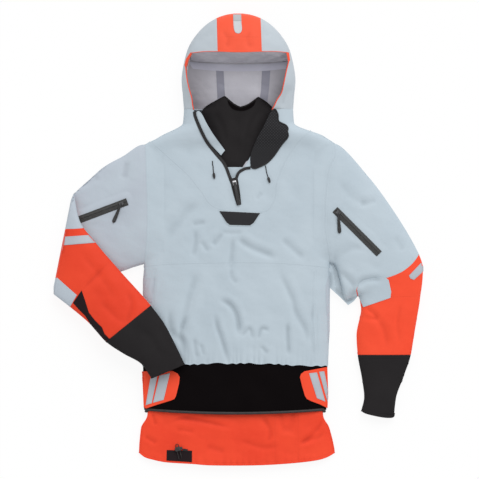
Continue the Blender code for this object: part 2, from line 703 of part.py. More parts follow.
def torso_panels(tube, opening, armholes):
    front_start = math.asin((SEAM / ((1 - EDGE_LEVEL) * HEM_HEIGHT)) ** (TOP_POWER / 2))
    seam = tube.where_y(-CHEST_SEAM_DROP)
    step = tube.where_y(-CHEST_SEAM_DROP + SEAM)
    top = tube.where_y(-SEAM)
    back = add_piece("back_panel", skin_mesh("back_panel", tube, 0.0, top, -CLOTH, 0.0, math.pi, TAU),
                     SHELL_GREY, JACKET)
    lower = add_piece("lower_front_panel",
                      skin_mesh("lower_front_panel", tube, 0.0, seam, -CLOTH, 0.0,
                                front_start, math.pi - front_start), SHELL_GREY, JACKET)
    upper = {}
    for name in ("chest_panel", "front_yoke"):
        mesh = skin_mesh(name, tube, step, top, -CLOTH, 0.0, front_start, math.pi - front_start)
        upper[name] = add_piece(name, mesh, SHELL_GREY, JACKET)
        carve(upper[name], opening, "DIFFERENCE")
    yoke = add_cutter("yoke_cutter", prism_mesh("yoke_cutter", yoke_outline(0.0), FAR_BELOW, FAR_ABOVE))
    chest = add_cutter("chest_cutter", prism_mesh("chest_cutter", yoke_outline(SEAM), FAR_BELOW, FAR_ABOVE))
    carve(upper["front_yoke"], yoke, "INTERSECT")
    carve(upper["chest_panel"], chest, "DIFFERENCE")
    for armhole in armholes:
        for panel in (back, upper["chest_panel"]):
            carve(panel, armhole, "DIFFERENCE")


def surface_trim(name, tube, outline, look, parent, lift, thick, span, first=0, last=SIDES // 2):
    """A thin piece that follows a tube over an outline seen from above, between two grid angles."""
    start, stop = math.floor(span[0] * ROW_STEPS) / ROW_STEPS, math.ceil(span[1] * ROW_STEPS) / ROW_STEPS
    mesh = skin_mesh(name, tube, start, min(stop, tube.last), lift, lift + thick,
                     TAU * first / SIDES, TAU * last / SIDES)
    piece = add_piece(name, mesh, look, parent)
    cutter = add_cutter(name + "_cutter", prism_mesh(name + "_cutter", outline, FAR_BELOW, FAR_ABOVE))
    return carve(piece, cutter, "INTERSECT")


def torso_trims(tube):
    surface_trim("chest_patch", tube, CHEST_PATCH, NEOPRENE_BLACK, JACKET, SEAM, TRIM,
                 (tube.where_y(PATCH_ROWS[0]), tube.where_y(PATCH_ROWS[1])), 2, 8)
    edge = [place for place in FACE_LEFT if place[1] < 0.0]
    top = Vector(FACE_LEFT[4]).lerp(Vector(FACE_LEFT[5]), ZIP_TAPE_HEAD)
    path = [tuple(top)] + edge
    surface_trim("zip_tape_left", tube, strip(path, 0.0, TAPE_WIDTH), ZIP_BLACK, JACKET, SEAM, TRIM,
                 (tube.where_y(ZIP_TAPE_FOOT), tube.last), 1, 9)
    guard = path[:-2]
    surface_trim("zip_guard", tube, strip(guard, GUARD_WIDTH, TAPE_WIDTH / 2), REFLECTIVE, JACKET,
                 -CLOTH - SEAM - TRIM, TRIM, (tube.where_y(ZIP_TAPE_FOOT), tube.last), 1, 9)
    mesh = skin_mesh("hem_elastic", tube, tube.where_y(-BODY_LENGTH + BAND_OVERLAP + SEAM),
                     tube.where_y(-BODY_LENGTH + BAND_OVERLAP + SEAM + ELASTIC_WIDTH),
                     -CLOTH - SEAM - TRIM, -CLOTH - SEAM)
    add_piece("hem_elastic", mesh, RUBBER, JACKET)


def gaiter():
    tube = gaiter_tube()
    mesh = skin_mesh("neck_gaiter", tube, 0.0, tube.last, -NEOPRENE, 0.0)
    piece = add_piece("neck_gaiter", mesh, NEOPRENE_BLACK, JACKET)
    half, dip = GAITER_DIP_WIDTH / 2, GAITER_TOP - GAITER_DIP
    outline = [(-half, GAITER_TOP + GAITER_DIP), (-half, GAITER_TOP), (-half * GAITER_DIP_FLAT, dip),
               (half * GAITER_DIP_FLAT, dip), (half, GAITER_TOP), (half, GAITER_TOP + GAITER_DIP)]
    cutter = add_cutter("gaiter_dip", prism_mesh("gaiter_dip", outline, GAITER_HEIGHT / 2, FAR_ABOVE))
    carve(piece, cutter, "DIFFERENCE")


# Sub-parts: hood

def hood(opening):
    outer, inner = hood_tube(0.0), hood_tube(CLOTH)
    hollow = add_cutter("hood_hollow", filled_mesh("hood_hollow", inner, -HOLLOW_OVERRUN, inner.last, 0.0))
    mesh = box_mesh("hood_base", (-FAR_OUT, SEAM, FAR_BELOW), (FAR_OUT, FAR_OUT, FAR_ABOVE))
    base = add_cutter("hood_base", mesh)
    half = HOOD_MIDDLE_WIDTH / 2
    slabs = {"hood_left_panel": (-FAR_OUT, -half - SEAM), "hood_middle_panel": (-half, half),
             "hood_right_panel": (half + SEAM, FAR_OUT)}
    for name, (left, right) in slabs.items():
        look = SHELL_ORANGE if name == "hood_middle_panel" else SHELL_GREY
        piece = add_piece(name, filled_mesh(name, outer, 0.0, outer.last, 0.0), look, HOOD)
        mesh = box_mesh(name + "_slab", (left, FAR_BELOW, FAR_BELOW), (right, FAR_OUT, FAR_ABOVE))
        slab = add_cutter(name + "_slab", mesh)
        carve(piece, hollow, "DIFFERENCE")
        carve(piece, opening, "DIFFERENCE")
        carve(piece, slab, "INTERSECT")
        carve(piece, base, "INTERSECT")
    return outer, inner


def hood_trims(outer, inner):
    top = HOOD_HEIGHT - HOOD_TAB_FROM_TOP
    half = HOOD_TAB_WIDTH / 2
    foot = top - HOOD_TAB_LENGTH + half
    turns = [math.pi + math.pi * turn / 6 for turn in range(7)]
    rounded = [(half * math.cos(turn), foot + half * math.sin(turn)) for turn in turns]
    surface_trim("hood_reflective_tab", outer, rounded + [(half, top), (-half, top)], REFLECTIVE, HOOD,
                 SEAM, TRIM, (2.0, outer.last), 2, 8)
    brim = FACE_RIGHT[-1][1] + BRIM_BOW + CLOTH
    wide = BRIM_STRIP_WIDTH / 2
    narrow = wide * BRIM_STRIP_TAPER
    outline = [(-wide, brim), (wide, brim), (narrow, brim + BRIM_STRIP), (-narrow, brim + BRIM_STRIP)]
    surface_trim("brim_stiffener", inner, outline, RUBBER, HOOD, -SEAM - TRIM, TRIM,
                 (2.0, inner.last - BRIM_STRIP_SHORT))
    tape, reach = HOOD_TAPE_WIDTH, HOOD_TAPE_SPAN / 2
    leg = HOOD_MIDDLE_WIDTH / 2
    low, high, foot = HOOD_TAPE_Y - tape / 2, HOOD_TAPE_Y + tape / 2, HOOD_TAPE_Y - tape / 2 - HOOD_TAPE_LEG
    outline = [(-reach, high), (-reach, low), (-leg - tape / 2, low), (-leg - tape / 2, foot),
               (-leg + tape / 2, foot), (-leg + tape / 2, low), (leg - tape / 2, low), (leg - tape / 2, foot),
               (leg + tape / 2, foot), (leg + tape / 2, low), (reach, low), (reach, high)]
    surface_trim("hood_seam_tapes", inner, outline, SEAM_TAPE, HOOD, -SEAM - TRIM, TRIM,
                 (0.0, 4.0), SIDES // 2 + 1, SIDES - 1)


# Sub-parts: sleeves

def armhole_cutter(name, tube):
    return add_cutter(name, filled_mesh(name, tube, 0.0, 2.0, -CLOTH))


def shoulder_cutter(tube):
    return add_cutter("shoulder_cutter", filled_mesh("shoulder_cutter", tube, 0.0, tube.last, 2 * SEAM))


def end_gap(tube, row):
    """Share of a row step that leaves the seam gap at a row."""
    before, after = tube.rows[row], tube.rows[min(row + 1, tube.last)]
    run = math.hypot((after[0] + after[2] - before[0] - before[2]) / 2,
                     (after[1] + after[3] - before[1] - before[3]) / 2)
    return SEAM / run


def wrist(side, tube, row, carrier):
    """Cuff and the latex seal inside it."""
    start = row + end_gap(tube, row)
    cuff = skin_mesh(side + "_cuff", tube, start, tube.last, -NEOPRENE, 0.0)
    add_piece(side + "_cuff", cuff, NEOPRENE_BLACK, carrier)
    inside = -NEOPRENE - SEAM
    stop = start + (tube.last - start) * SEAL_REACH
    seal = skin_mesh(side + "_wrist_seal", tube, start, stop, inside - LATEX, inside)
    add_piece(side + "_wrist_seal", seal, LATEX_BLACK, carrier)


def left_sleeve(tube, shoulder):
    piece = add_piece("left_upper_sleeve", skin_mesh("left_upper_sleeve", tube, 0.0, tube.last, -CLOTH, 0.0),
                      SHELL_GREY, LEFT_SLEEVE)
    carve(piece, shoulder, "DIFFERENCE")


def left_forearm(tube, fold):
    seam = len(LEFT_FOREARM) + 1
    gap = math.asin((SEAM / (EDGE_LEVEL * LEFT_FOLD[4])) ** (FLOOR_POWER / 2))
    for name, first, last in (("left_forearm", 0.0, math.pi),
                              ("left_forearm_under", math.pi + gap, TAU - gap)):
        mesh = skin_mesh(name, tube, 0.0, seam, -CLOTH, 0.0, first, last)
        add_piece(name, mesh, SHELL_ORANGE, LEFT_FOREARM_AXIS)
    for name, outline, look in (("left_reflective_band", LEFT_BAND, REFLECTIVE),
                                ("left_elbow_insert", LEFT_INSERT, SHELL_GREY),
                                ("left_cuff_gusset", LEFT_GUSSET, NEOPRENE_BLACK)):
        surface_trim(name, tube, moved(outline, fold), look, LEFT_FOREARM_AXIS, SEAM, TRIM, (0.0, seam))
    wrist("left", tube, seam, LEFT_FOREARM_AXIS)


def elbow_outline(elbow, gap):
    """The upper sleeve's side of the elbow seam: an arc round the bend, then its inner leg."""
    pivot = elbow + Vector(ELBOW_PIVOT_BACK)
    arc = [pivot + heading(-ELBOW_SWEEP * turn / 16) * (ELBOW_RADIUS + gap) for turn in range(17)]
    inner = [elbow + Vector(place) + Vector((gap, -gap)) for place in ELBOW_INNER]
    points = [pivot + Vector((ELBOW_RADIUS + gap, ELBOW_FAR))] + arc + inner
    points += [inner[-1] + Vector((0.0, -ELBOW_FAR)), inner[-1] + Vector((-FAR_OUT, -ELBOW_FAR)),
               pivot + Vector((-ELBOW_FAR_IN, ELBOW_FAR))]
    return [tuple(place) for place in points]


def right_arm(tube, elbow, shoulder):
    seam = 4 + len(RIGHT_FOREARM)
    mesh = skin_mesh("right_upper_sleeve", tube, 0.0, ELBOW_ROWS[1], -CLOTH, 0.0)
    upper = add_piece("right_upper_sleeve", mesh, SHELL_GREY, RIGHT_SLEEVE)
    mesh = skin_mesh("right_forearm", tube, ELBOW_ROWS[0], seam, -CLOTH, 0.0)
    lower = add_piece("right_forearm", mesh, SHELL_ORANGE, RIGHT_FOREARM_AXIS)
    above, beyond = (add_cutter(name, prism_mesh(name, elbow_outline(elbow, gap), FAR_BELOW, ELBOW_FAR))
                     for name, gap in (("elbow_above", 0.0), ("elbow_beyond", SEAM)))
    carve(upper, shoulder, "DIFFERENCE")
    carve(upper, above, "INTERSECT")
    carve(lower, beyond, "DIFFERENCE")
    for name, outline, look, first in (("right_reflective_band", RIGHT_BAND, REFLECTIVE, 2.0),
                                       ("right_elbow_insert", RIGHT_INSERT, SHELL_GREY, 3.0)):
        surface_trim(name, tube, moved(outline, elbow), look, RIGHT_FOREARM_AXIS, SEAM, TRIM, (first, 5.0))
    wrist("right", tube, seam, RIGHT_FOREARM_AXIS)


# Sub-parts: zips

class ZipLine:
    """A straight closed zip that lies on a surface: its start, run and upward direction."""

    def __init__(self, trees, start, stop, tape):
        start, stop = Vector(start), Vector(stop)
        length = (stop - start).length
        run = (stop - start) / length
        side = Vector((-run.y, run.x))
        samples = []
        for along in range(13):
            for across in (-0.5, 0.0, 0.5):
                spot = start + run * length * along / 12 + side * tape * across
                samples.append((length * along / 12, height_at(trees, spot.x, spot.y)))
        slope = (samples[-2][1] - samples[1][1]) / length
        lift = max(z - slope * along for along, z in samples) + SEAM
        self.length = length
        self.run = Vector((run.x, run.y, slope)).normalized()
        self.side = Vector((side.x, side.y, 0.0))
        self.up = self.run.cross(self.side)
        self.start = Vector((start.x, start.y, lift))

    def frame(self, along):
        origin = self.start + self.run * along
        turn = Matrix((self.run, self.side, self.up)).transposed().to_4x4()
        return Matrix.Translation(origin) @ turn


def zip_mesh(name, line, tape):
    """Tape with its closed teeth as a low ridge along the middle."""
    half, tooth = tape / 2, TEETH_WIDTH / 2
    profile = [(-half, 0.0), (half, 0.0), (half, TRIM), (tooth, TRIM), (tooth, TRIM + TEETH_HEIGHT),
               (-tooth, TRIM + TEETH_HEIGHT), (-tooth, TRIM), (-half, TRIM)]
    points = [line.frame(0.0) @ Vector((along, y, z)) for along in (0.0, line.length) for y, z in profile]
    count = len(profile)
    faces = [list(range(count)), [count + index for index in range(count)]]
    for index in range(count):
        after = (index + 1) % count
        faces.append([index, after, count + after, count + index])
    return mesh_of(name, points, faces)


def slider_mesh(name, line, along):
    """Slider straddling the teeth."""
    inner = TEETH_WIDTH / 2 + SEAM
    outer = inner + SLIDER_WALL
    foot = TRIM + SEAM
    roof = TRIM + TEETH_HEIGHT + SEAM
    crown = roof + SLIDER_WALL
    profile = [(-outer, foot), (-inner, foot), (-inner, roof), (inner, roof), (inner, foot), (outer, foot),
               (outer, crown), (-outer, crown)]
    points = [Vector((x, y, z)) for x in (-SLIDER_LENGTH / 2, SLIDER_LENGTH / 2) for y, z in profile]
    count = len(profile)
    faces = [list(range(count)), [count + index for index in range(count)]]
    for index in range(count):
        after = (index + 1) % count
        faces.append([index, after, count + after, count + index])
    mesh = mesh_of(name, points, faces)
    mesh.transform(line.frame(along))
    return mesh


def pull_mesh(name, length, width, place, tilt_frame):
    """Moulded pull: narrow at its head, round and wide at its free end."""
    head, waist, narrow = width * PULL_HEAD_SHARE, width * PULL_WAIST_SHARE, length * PULL_WAIST_SHARE
    outline = [(-PULL_HEAD, -head), (narrow, -waist)]
    centre = length - width / 2
    outline += [(centre + width / 2 * math.cos(math.radians(turn)), width / 2 * math.sin(math.radians(turn)))
                for turn in range(-75, 76, 25)]
    outline += [(narrow, waist), (-PULL_HEAD, head)]
    mesh = prism_mesh(name, outline, -PULL_THICK / 2, PULL_THICK / 2)
    mesh.transform(Matrix.Translation(place) @ tilt_frame)
    return mesh


def pull_frame(trees, place, bearing, length, width):
    """Turn that lays a pull along a bearing, lifted just clear of the cloth under it."""
    flat = heading(bearing)
    side = Vector((-flat.y, flat.x))
    rise = -1.0
    for step in range(1, math.floor(length / PULL_PROBE) + 1):
        reach = PULL_PROBE * step
        half = math.sqrt((width / 2) ** 2 - max(reach - length + width / 2, 0.0) ** 2)
        for across in (-1.0, -0.5, 0.0, 0.5, 1.0):
            spot = place.xy + flat * reach + side * half * across
            clear = height_at(trees, spot.x, spot.y) + PULL_GAP + PULL_THICK / 2
            rise = max(rise, (clear - place.z) / reach)
    run = Vector((flat.x, flat.y, rise)).normalized()
    side = Vector((side.x, side.y, 0.0))
    return Matrix((run, side, run.cross(side))).transposed().to_4x4(), side


def zip_set(prefix, line, tape, slider_at, bearing, pull_size, trees, carrier):
    """Zip, slider and pull; returns what the record needs to know of their joints."""
    teeth, slider = zip_mesh(prefix + "_zip", line, tape), slider_mesh(prefix + "_slider", line, slider_at)
    trees = trees + [tree_of(teeth), tree_of(slider)]
    add_piece(prefix + "_zip", teeth, ZIP_BLACK, carrier)
    centre = line.start + line.run * slider_at
    slider_axis = joint_frame(prefix + "_slider_axis", carrier, centre)
    add_piece(prefix + "_slider", slider, METAL, slider_axis)
    length, width = pull_size
    roof = TRIM + TEETH_HEIGHT + SEAM + SLIDER_WALL
    head = centre + line.up * (roof + PULL_LIFT + PULL_THICK / 2)
    turn, side = pull_frame(trees, head, bearing, length, width)
    pull_axis = joint_frame(prefix + "_pull_axis", slider_axis, head)
    add_piece(prefix + "_pull", pull_mesh(prefix + "_pull", length, width, head, turn), RUBBER, pull_axis)
    report_axis(prefix + "_slider", centre, line.run)
    report_axis(prefix + "_pull", head, -side)


def pocket_bag(name, tube, start, bearing, carrier, side, span):
    """Mesh pocket that hangs inside the sleeve behind its zip."""
    run = heading(bearing)
    drop = Vector((-run.y, run.x)) * side
    first = Vector(start) + run * POCKET_MARGIN
    last = Vector(start) + run * (POCKET_ZIP_LENGTH - POCKET_FAR_MARGIN)
    deep = drop * POCKET_DEPTH
    outline = [tuple(first), tuple(last), tuple(last + deep), tuple(first + deep)]
    surface_trim(name, tube, outline, LINING, carrier, -CLOTH - SEAM - TRIM, TRIM, span)


# Sub-parts: chin flap, waist and skirt

def chin_flap(tube):
    inner = [Vector(place) for place in FLAP_FOLD]
    outline = [tuple(inner[1])] + FLAP_OUTER + [tuple(inner[0])]
    surface_trim("chin_flap", tube, outline[::-1], NEOPRENE_BLACK, CHIN_FLAP, SEAM, FLAP_THICK,
                 (tube.where_y(FLAP_FOOT), tube.last), 1, 6)


def fold_line(trees, ends, lift):
    """Two points of a straight hinge along a fold, raised clear of the cloth that bulges between them."""
    tops = [Vector((*place, height_at(trees, *place) + lift)) for place in ends]
    rise = 0.0
    for step in range(1, FOLD_PROBES):
        spot = tops[0].lerp(tops[1], step / FOLD_PROBES)
        rise = max(rise, height_at(trees, spot.x, spot.y) + lift - spot.z)
    return [top + Vector((0.0, 0.0, rise)) for top in tops]


def waist(tube):
    end = tube.where_y(-BODY_LENGTH - BAND_LENGTH)
    grip = tube.where_y(-BODY_LENGTH - BAND_LENGTH - SEAM)
    band = skin_mesh("waistband", tube, end, tube.last, -BAND_TUCK - NEOPRENE, -BAND_TUCK)
    add_piece("waistband", band, NEOPRENE_BLACK, JACKET)
    edge = skin_mesh("waistband_grip_edge", tube, 0.0, grip, -BAND_TUCK - NEOPRENE, -BAND_TUCK + TRIM / 2)
    add_piece("waistband_grip_edge", edge, RUBBER, JACKET)


def tab_places(side, places):
    """Places of a tab, stated inwards from the side of the hem and down from it."""
    out = -1.0 if side == "left" else 1.0
    return [(HEM_SHIFT + out * (HEM_WIDTH / 2 - inward), rise - BODY_LENGTH) for inward, rise in places]


def tab(side, tube, side_edge, fold, tip, axis):
    """Waist tab: a base sewn to the band, its stripes, and an end that peels off."""
    span = (tube.where_y(-BODY_LENGTH - BAND_LENGTH), tube.where_y(-BODY_LENGTH))
    top, foot = Vector(fold[0]), Vector(fold[1])
    gap = Vector((SEAM, 0.0)) * (1.0 if side == "left" else -1.0)
    base = [tuple(top - gap), tuple(foot - gap)] + side_edge
    ends = [tuple(foot)] + tip + [tuple(top)]
    surface_trim(side + "_tab_base", tube, base, SHELL_ORANGE, JACKET, SEAM - BAND_TUCK, TAB_THICK, span)
    surface_trim(side + "_tab_end", tube, ends, SHELL_ORANGE, axis, SEAM - BAND_TUCK, TAB_THICK, span)
    inward = Vector((-STRIPE_WIDTH, 0.0)) * (1.0 if side == "left" else -1.0)
    inset = (top - foot) * STRIPE_INSET
    near = [top - gap * 3 - inset, foot - gap * 3 + inset * 3]
    stripes = [tuple(near[0]), tuple(near[1]), tuple(near[1] + inward), tuple(near[0] + inward)]
    lift = SEAM + TAB_THICK + SEAM - BAND_TUCK
    surface_trim(side + "_tab_stripes", tube, stripes, REFLECTIVE, JACKET, lift, STRIPE_THICK, span)
    groove = inward * STRIPE_SPLIT
    line = [near[0] + groove, near[1] + groove]
    cut = strip([tuple(place) for place in line], STRIPE_GROOVE / 2, STRIPE_GROOVE / 2)
    keep = skin_mesh(side + "_groove", tube, span[0], span[1], lift + STRIPE_THICK / 2, lift + STRIPE_CLEAR,
                     0.0, math.pi)
    groove_cutter = add_cutter(side + "_groove", keep)
    mesh = prism_mesh(side + "_groove_line", cut, FAR_BELOW, FAR_ABOVE)
    carve(groove_cutter, add_cutter(side + "_groove_line", mesh), "INTERSECT")
    carve(bpy.data.objects[side + "_tab_stripes"], groove_cutter, "DIFFERENCE")


def skirt(tube):
    mesh = skin_mesh("skirt", tube, 0.0, tube.last, -SKIRT_TUCK - CLOTH, -SKIRT_TUCK)
    piece = add_piece("skirt", mesh, SHELL_ORANGE, JACKET)
    foot = -BODY_LENGTH - BAND_LENGTH - SKIRT_LENGTH
    half = (HEM_WIDTH + SKIRT_FLARE) / 2
    hem = [(HEM_SHIFT / 2 + half * turn / 8, foot + SKIRT_BOW * (turn / 8) ** 4) for turn in range(-10, 11)]
    upper = [(FAR_OUT, -FAR_OUT), (-FAR_OUT, -FAR_OUT)]
    cutter = add_cutter("skirt_hem", prism_mesh("skirt_hem", hem + upper, FAR_BELOW, FAR_ABOVE))
    carve(piece, cutter, "INTERSECT")
    centre = Vector((PATCH_AT[0], foot + PATCH_AT[1]))
    wide, tall = PATCH_SIZE[0] / 2, PATCH_SIZE[1] / 2
    outline = [(centre.x - wide, centre.y - tall), (centre.x + wide, centre.y - tall),
               (centre.x + wide, centre.y + tall), (centre.x - wide, centre.y + tall)]
    surface_trim("skirt_patch", tube, outline, NEOPRENE_BLACK, JACKET, SEAM - SKIRT_TUCK, TRIM, (0.0, 2.0))
    return centre


# Sub-parts: cords

def smooth_route(points, count):
    """Evenly spaced points on a smooth curve through a route's own points."""
    return [Vector(curved_steps(points, (len(points) - 1) * step / (count - 1))) for step in range(count)]


def cord_piece(name, points, thick, parent):
    origin = frame_origin(parent)
    curve = bpy.data.curves.new(name, "CURVE")
    curve.dimensions = "3D"
    curve.bevel_depth = thick / 2
    curve.bevel_resolution = 2
    curve.use_fill_caps = True
    spline = curve.splines.new("POLY")
    spline.points.add(len(points) - 1)
    for spot, place in zip(spline.points, points):
        spot.co = (*(place - origin), 1.0)
    curve.materials.append(finish(name + "_finish", RUBBER))
    cord = bpy.data.objects.new(name, curve)
    bpy.context.scene.collection.objects.link(cord)
    cord.parent = parent
    return cord


def hood_cord(side, route, trees):
    """Drawcord that lies on the yoke, with a moulded end."""
    lift = HOOD_CORD / 2 + REST_GAP
    points = [(x, y, height_at(trees, x, y) + lift) for x, y in route]
    cord_piece(side + "_hood_cord", smooth_route(points, 9), HOOD_CORD, JACKET)
    tip, before = Vector(points[-1]), Vector(points[-2])
    run = (tip - before).normalized()
    shape = [(along * CORD_END_LENGTH, share) for along, share in CORD_END_SHAPE]
    across = Vector((-run.y, run.x, 0.0)).normalized()
    up = run.cross(across)
    places = [(tip + run * along, CORD_END_WIDTH * share + REST_GAP) for along, share in shape]
    lifted = max(height_at(trees, *place.xy) + room - place.z for place, room in places)
    sides, points, faces = 10, [], []
    for along, share in shape:
        for turn in range(sides):
            angle = TAU * turn / sides
            points.append(tip + run * along + up * max(lifted, 0.0)
                          + (across * math.cos(angle) + up * math.sin(angle)) * CORD_END_WIDTH * share)
    for row in range(len(shape) - 1):
        for turn in range(sides):
            after = (turn + 1) % sides
            faces.append((row * sides + turn, row * sides + after,
                          (row + 1) * sides + after, (row + 1) * sides + turn))
    faces.append(list(range(sides)))
    faces.append([(len(shape) - 1) * sides + turn for turn in range(sides)])
    add_piece(side + "_cord_end", mesh_of(side + "_cord_end", points, faces), RUBBER, JACKET)


def hem_cord(centre, trees):
    """Elastic loop from the hem patch, with a sliding lock and its push button."""
    run = heading(LOCK_HEADING)
    side = Vector((run.y, -run.x))
    width, length, height = LOCK_SIZE
    lock_at = centre + run * LOCK_FROM_PATCH
    patch = SEAM + TRIM
    ground = 0.0
    for along in (-1.0, -0.5, 0.0, 0.5, 1.0):
        for across in (-0.5, 0.0, 0.5):
            spot = lock_at + run * length * along + side * width * across
            sewn = patch if spot.y < centre.y + PATCH_SIZE[1] / 2 else 0.0
            ground = max(ground, height_at(trees, spot.x, spot.y) + sewn)
    level = ground + REST_GAP + height / 2

    def local(x, y, z):
        flat = lock_at + side * x + run * y
        return Vector((flat.x, flat.y, z))

    foot, straight, half = -CORD_FOOT, CORD_REACH, CORD_SPACING / 2
    low = height_at(trees, *(lock_at + run * foot)) + patch + REST_GAP + HEM_CORD / 2
    rise = CORD_RISE
    route = [local(-half, foot, low), local(-half, foot + rise * 0.5, low + (level - low) * 0.7),
             local(-half, foot + rise, level), local(-half, 0.0, level), local(-half, straight, level)]
    route += [local(half * heading(turn).x, straight + half * heading(turn).y, level)
              for turn in (150, 120, 90, 60, 30)]
    route += [local(half, straight, level), local(half, 0.0, level), local(half, foot + rise, level),
              local(half, foot + rise * 0.5, low + (level - low) * 0.7), local(half, foot, low)]
    cord_piece("hem_cord_loop", smooth_route(route, 33), HEM_CORD, JACKET)

    turn = Matrix(((*side, 0.0), (*run, 0.0), (0.0, 0.0, 1.0))).transposed().to_4x4()
    place = Matrix.Translation((lock_at.x, lock_at.y, level)) @ turn
    lock_axis = joint_frame("cord_lock_axis", JACKET, (lock_at.x, lock_at.y, level))
    body = box_mesh("cord_lock", (-width / 2, -length / 2, -height / 2), (width / 2, length / 2, height / 2))
    shape = bmesh.new()
    shape.from_mesh(body)
    bmesh.ops.bevel(shape, geom=list(shape.edges), offset=height * LOCK_ROUND, segments=2, affect="EDGES")
    shape.to_mesh(body)
    shape.free()
    body.transform(place)
    lock = add_piece("cord_lock", body, RUBBER, lock_axis)
    for offset in (-half, half):
        turns = [TAU * index / 10 for index in range(10)]
        ring = [(offset + CORD_BORE / 2 * math.cos(turn), CORD_BORE / 2 * math.sin(turn)) for turn in turns]
        points = [place @ Vector((x, y, z)) for y in (-length, length) for x, z in ring]
        faces = [list(range(10)), [10 + index for index in range(10)]]
        faces += [[index, (index + 1) % 10, 10 + (index + 1) % 10, 10 + index] for index in range(10)]
        name = "cord_bore_left" if offset < 0 else "cord_bore_right"
        carve(lock, add_cutter(name, mesh_of(name, points, faces)), "DIFFERENCE")
    button_half, recess = BUTTON_WIDTH / 2, width / 2 - BUTTON_LENGTH + BUTTON_OUT - BUTTON_TRAVEL
    well = box_mesh("button_well", (recess, -button_half - BUTTON_PLAY, -BUTTON_HEIGHT / 2 - BUTTON_PLAY),
                    (width, button_half + BUTTON_PLAY, BUTTON_HEIGHT / 2 + BUTTON_PLAY))
    well.transform(place)
    carve(lock, add_cutter("button_well", well), "DIFFERENCE")
    start = width / 2 + BUTTON_OUT - BUTTON_LENGTH
    button = box_mesh("cord_lock_button", (start, -button_half, -BUTTON_HEIGHT / 2),
                      (start + BUTTON_LENGTH, button_half, BUTTON_HEIGHT / 2))
    button.transform(place)
    fork = box_mesh("button_fork", (start - BUTTON_TRAVEL, -length, -CORD_BORE / 2),
                    (start + BUTTON_TRAVEL, length, CORD_BORE / 2))
    fork.transform(place)
    button_axis = joint_frame("cord_lock_button_axis", lock_axis, place @ Vector((start, 0.0, 0.0)))
    push = add_piece("cord_lock_button", button, RUBBER, button_axis)
    carve(push, add_cutter("button_fork", fork), "DIFFERENCE")
    report_axis("cord_lock", Vector((lock_at.x, lock_at.y, level)), Vector((*run, 0.0)))
    report_axis("cord_lock_button", place @ Vector((start, 0.0, 0.0)), -Vector((*side, 0.0)))


def report_axis(name, place, direction):
    AXES.append((name, Vector(place), Vector(direction).normalized()))


def settle():
    """Set the whole jacket down with the origin under the middle of its box."""
    bpy.context.view_layer.update()
    graph = bpy.context.evaluated_depsgraph_get()
    low, high = Vector((9.0, 9.0, 9.0)), Vector((-9.0, -9.0, -9.0))
    for thing in bpy.data.objects:
        if thing.type == "EMPTY" or thing.hide_render:
            continue
        solid = thing.evaluated_get(graph)
        for vertex in solid.to_mesh().vertices:
            spot = thing.matrix_world @ vertex.co
            low = Vector(map(min, low, spot))
            high = Vector(map(max, high, spot))
        solid.to_mesh_clear()
    JACKET.location = (-(low.x + high.x) / 2, -(low.y + high.y) / 2, -low.z)
    bpy.context.view_layer.update()
    print("box", [round(value, 4) for value in (*(high - low),)])
    for name, place, direction in AXES:
        spot = place + JACKET.location
        print("axis", name, [round(value, 5) for value in spot], [round(value, 5) for value in direction])


clear_scene()
AXES = []
JACKET = joint_frame("jacket", None, (0.0, 0.0, 0.0))

TORSO = torso_tube()
BAND = band_tube()
SKIRT = skirt_tube()
LEFT_UPPER, LEFT_ARMHOLE = left_upper_tube()
RIGHT_ARM, RIGHT_ARMHOLE, ELBOW = right_arm_tube()
FOLD = left_fold_middle(LEFT_ARMHOLE)

LEFT_SHOULDER = (LEFT_ARMHOLE.x + SHOULDER_IN, LEFT_ARMHOLE.y + ARMHOLE_WIDTH / 2, 0.0)
RIGHT_SHOULDER = (RIGHT_ARMHOLE.x - SHOULDER_IN, RIGHT_ARMHOLE.y + ARMHOLE_WIDTH / 2, 0.0)
ELBOW_PIVOT = ELBOW + Vector(ELBOW_PIVOT_BACK)
HOOD = joint_frame("hood_axis", JACKET, (0.0, 0.0, 0.0))
LEFT_SLEEVE = joint_frame("left_shoulder_axis", JACKET, LEFT_SHOULDER)
RIGHT_SLEEVE = joint_frame("right_shoulder_axis", JACKET, RIGHT_SHOULDER)
RIGHT_FOREARM_AXIS = joint_frame("right_elbow_axis", RIGHT_SLEEVE, (*ELBOW_PIVOT, 0.0))
report_axis("hood", (0.0, 0.0, 0.0), (-1.0, 0.0, 0.0))
report_axis("left_shoulder", LEFT_SHOULDER, (0.0, 0.0, -1.0))
report_axis("right_shoulder", RIGHT_SHOULDER, (0.0, 0.0, 1.0))
report_axis("right_elbow", (*ELBOW_PIVOT, 0.0), (0.0, 0.0, 1.0))

OPENING = opening_cutter()
SHOULDER_CUT = shoulder_cutter(TORSO)
ARMHOLES = [armhole_cutter("left_armhole", LEFT_UPPER), armhole_cutter("right_armhole", RIGHT_ARM)]
torso_panels(TORSO, OPENING, ARMHOLES)
torso_trims(TORSO)
gaiter()
hood_trims(*hood(OPENING))

waist(BAND)
PATCH_CENTRE = skirt(SKIRT)
BAND_TOP = BAND.outside(-BAND_TUCK)
for side, *outlines in (("left", LEFT_TAB_SIDE, LEFT_TAB_FOLD, LEFT_TAB_TIP),
                        ("right", RIGHT_TAB_SIDE, RIGHT_TAB_FOLD, RIGHT_TAB_TIP)):
    edge, fold, tip = (tab_places(side, places) for places in outlines)
    tops = fold_line([BAND_TOP], fold, SEAM + TAB_THICK)
    axis = joint_frame(side + "_tab_axis", JACKET, tops[0])
    tab(side, BAND, edge, fold, tip, axis)
    report_axis(side + "_tab_end", tops[0], (tops[0] - tops[1]) * (-1.0 if side == "left" else 1.0))

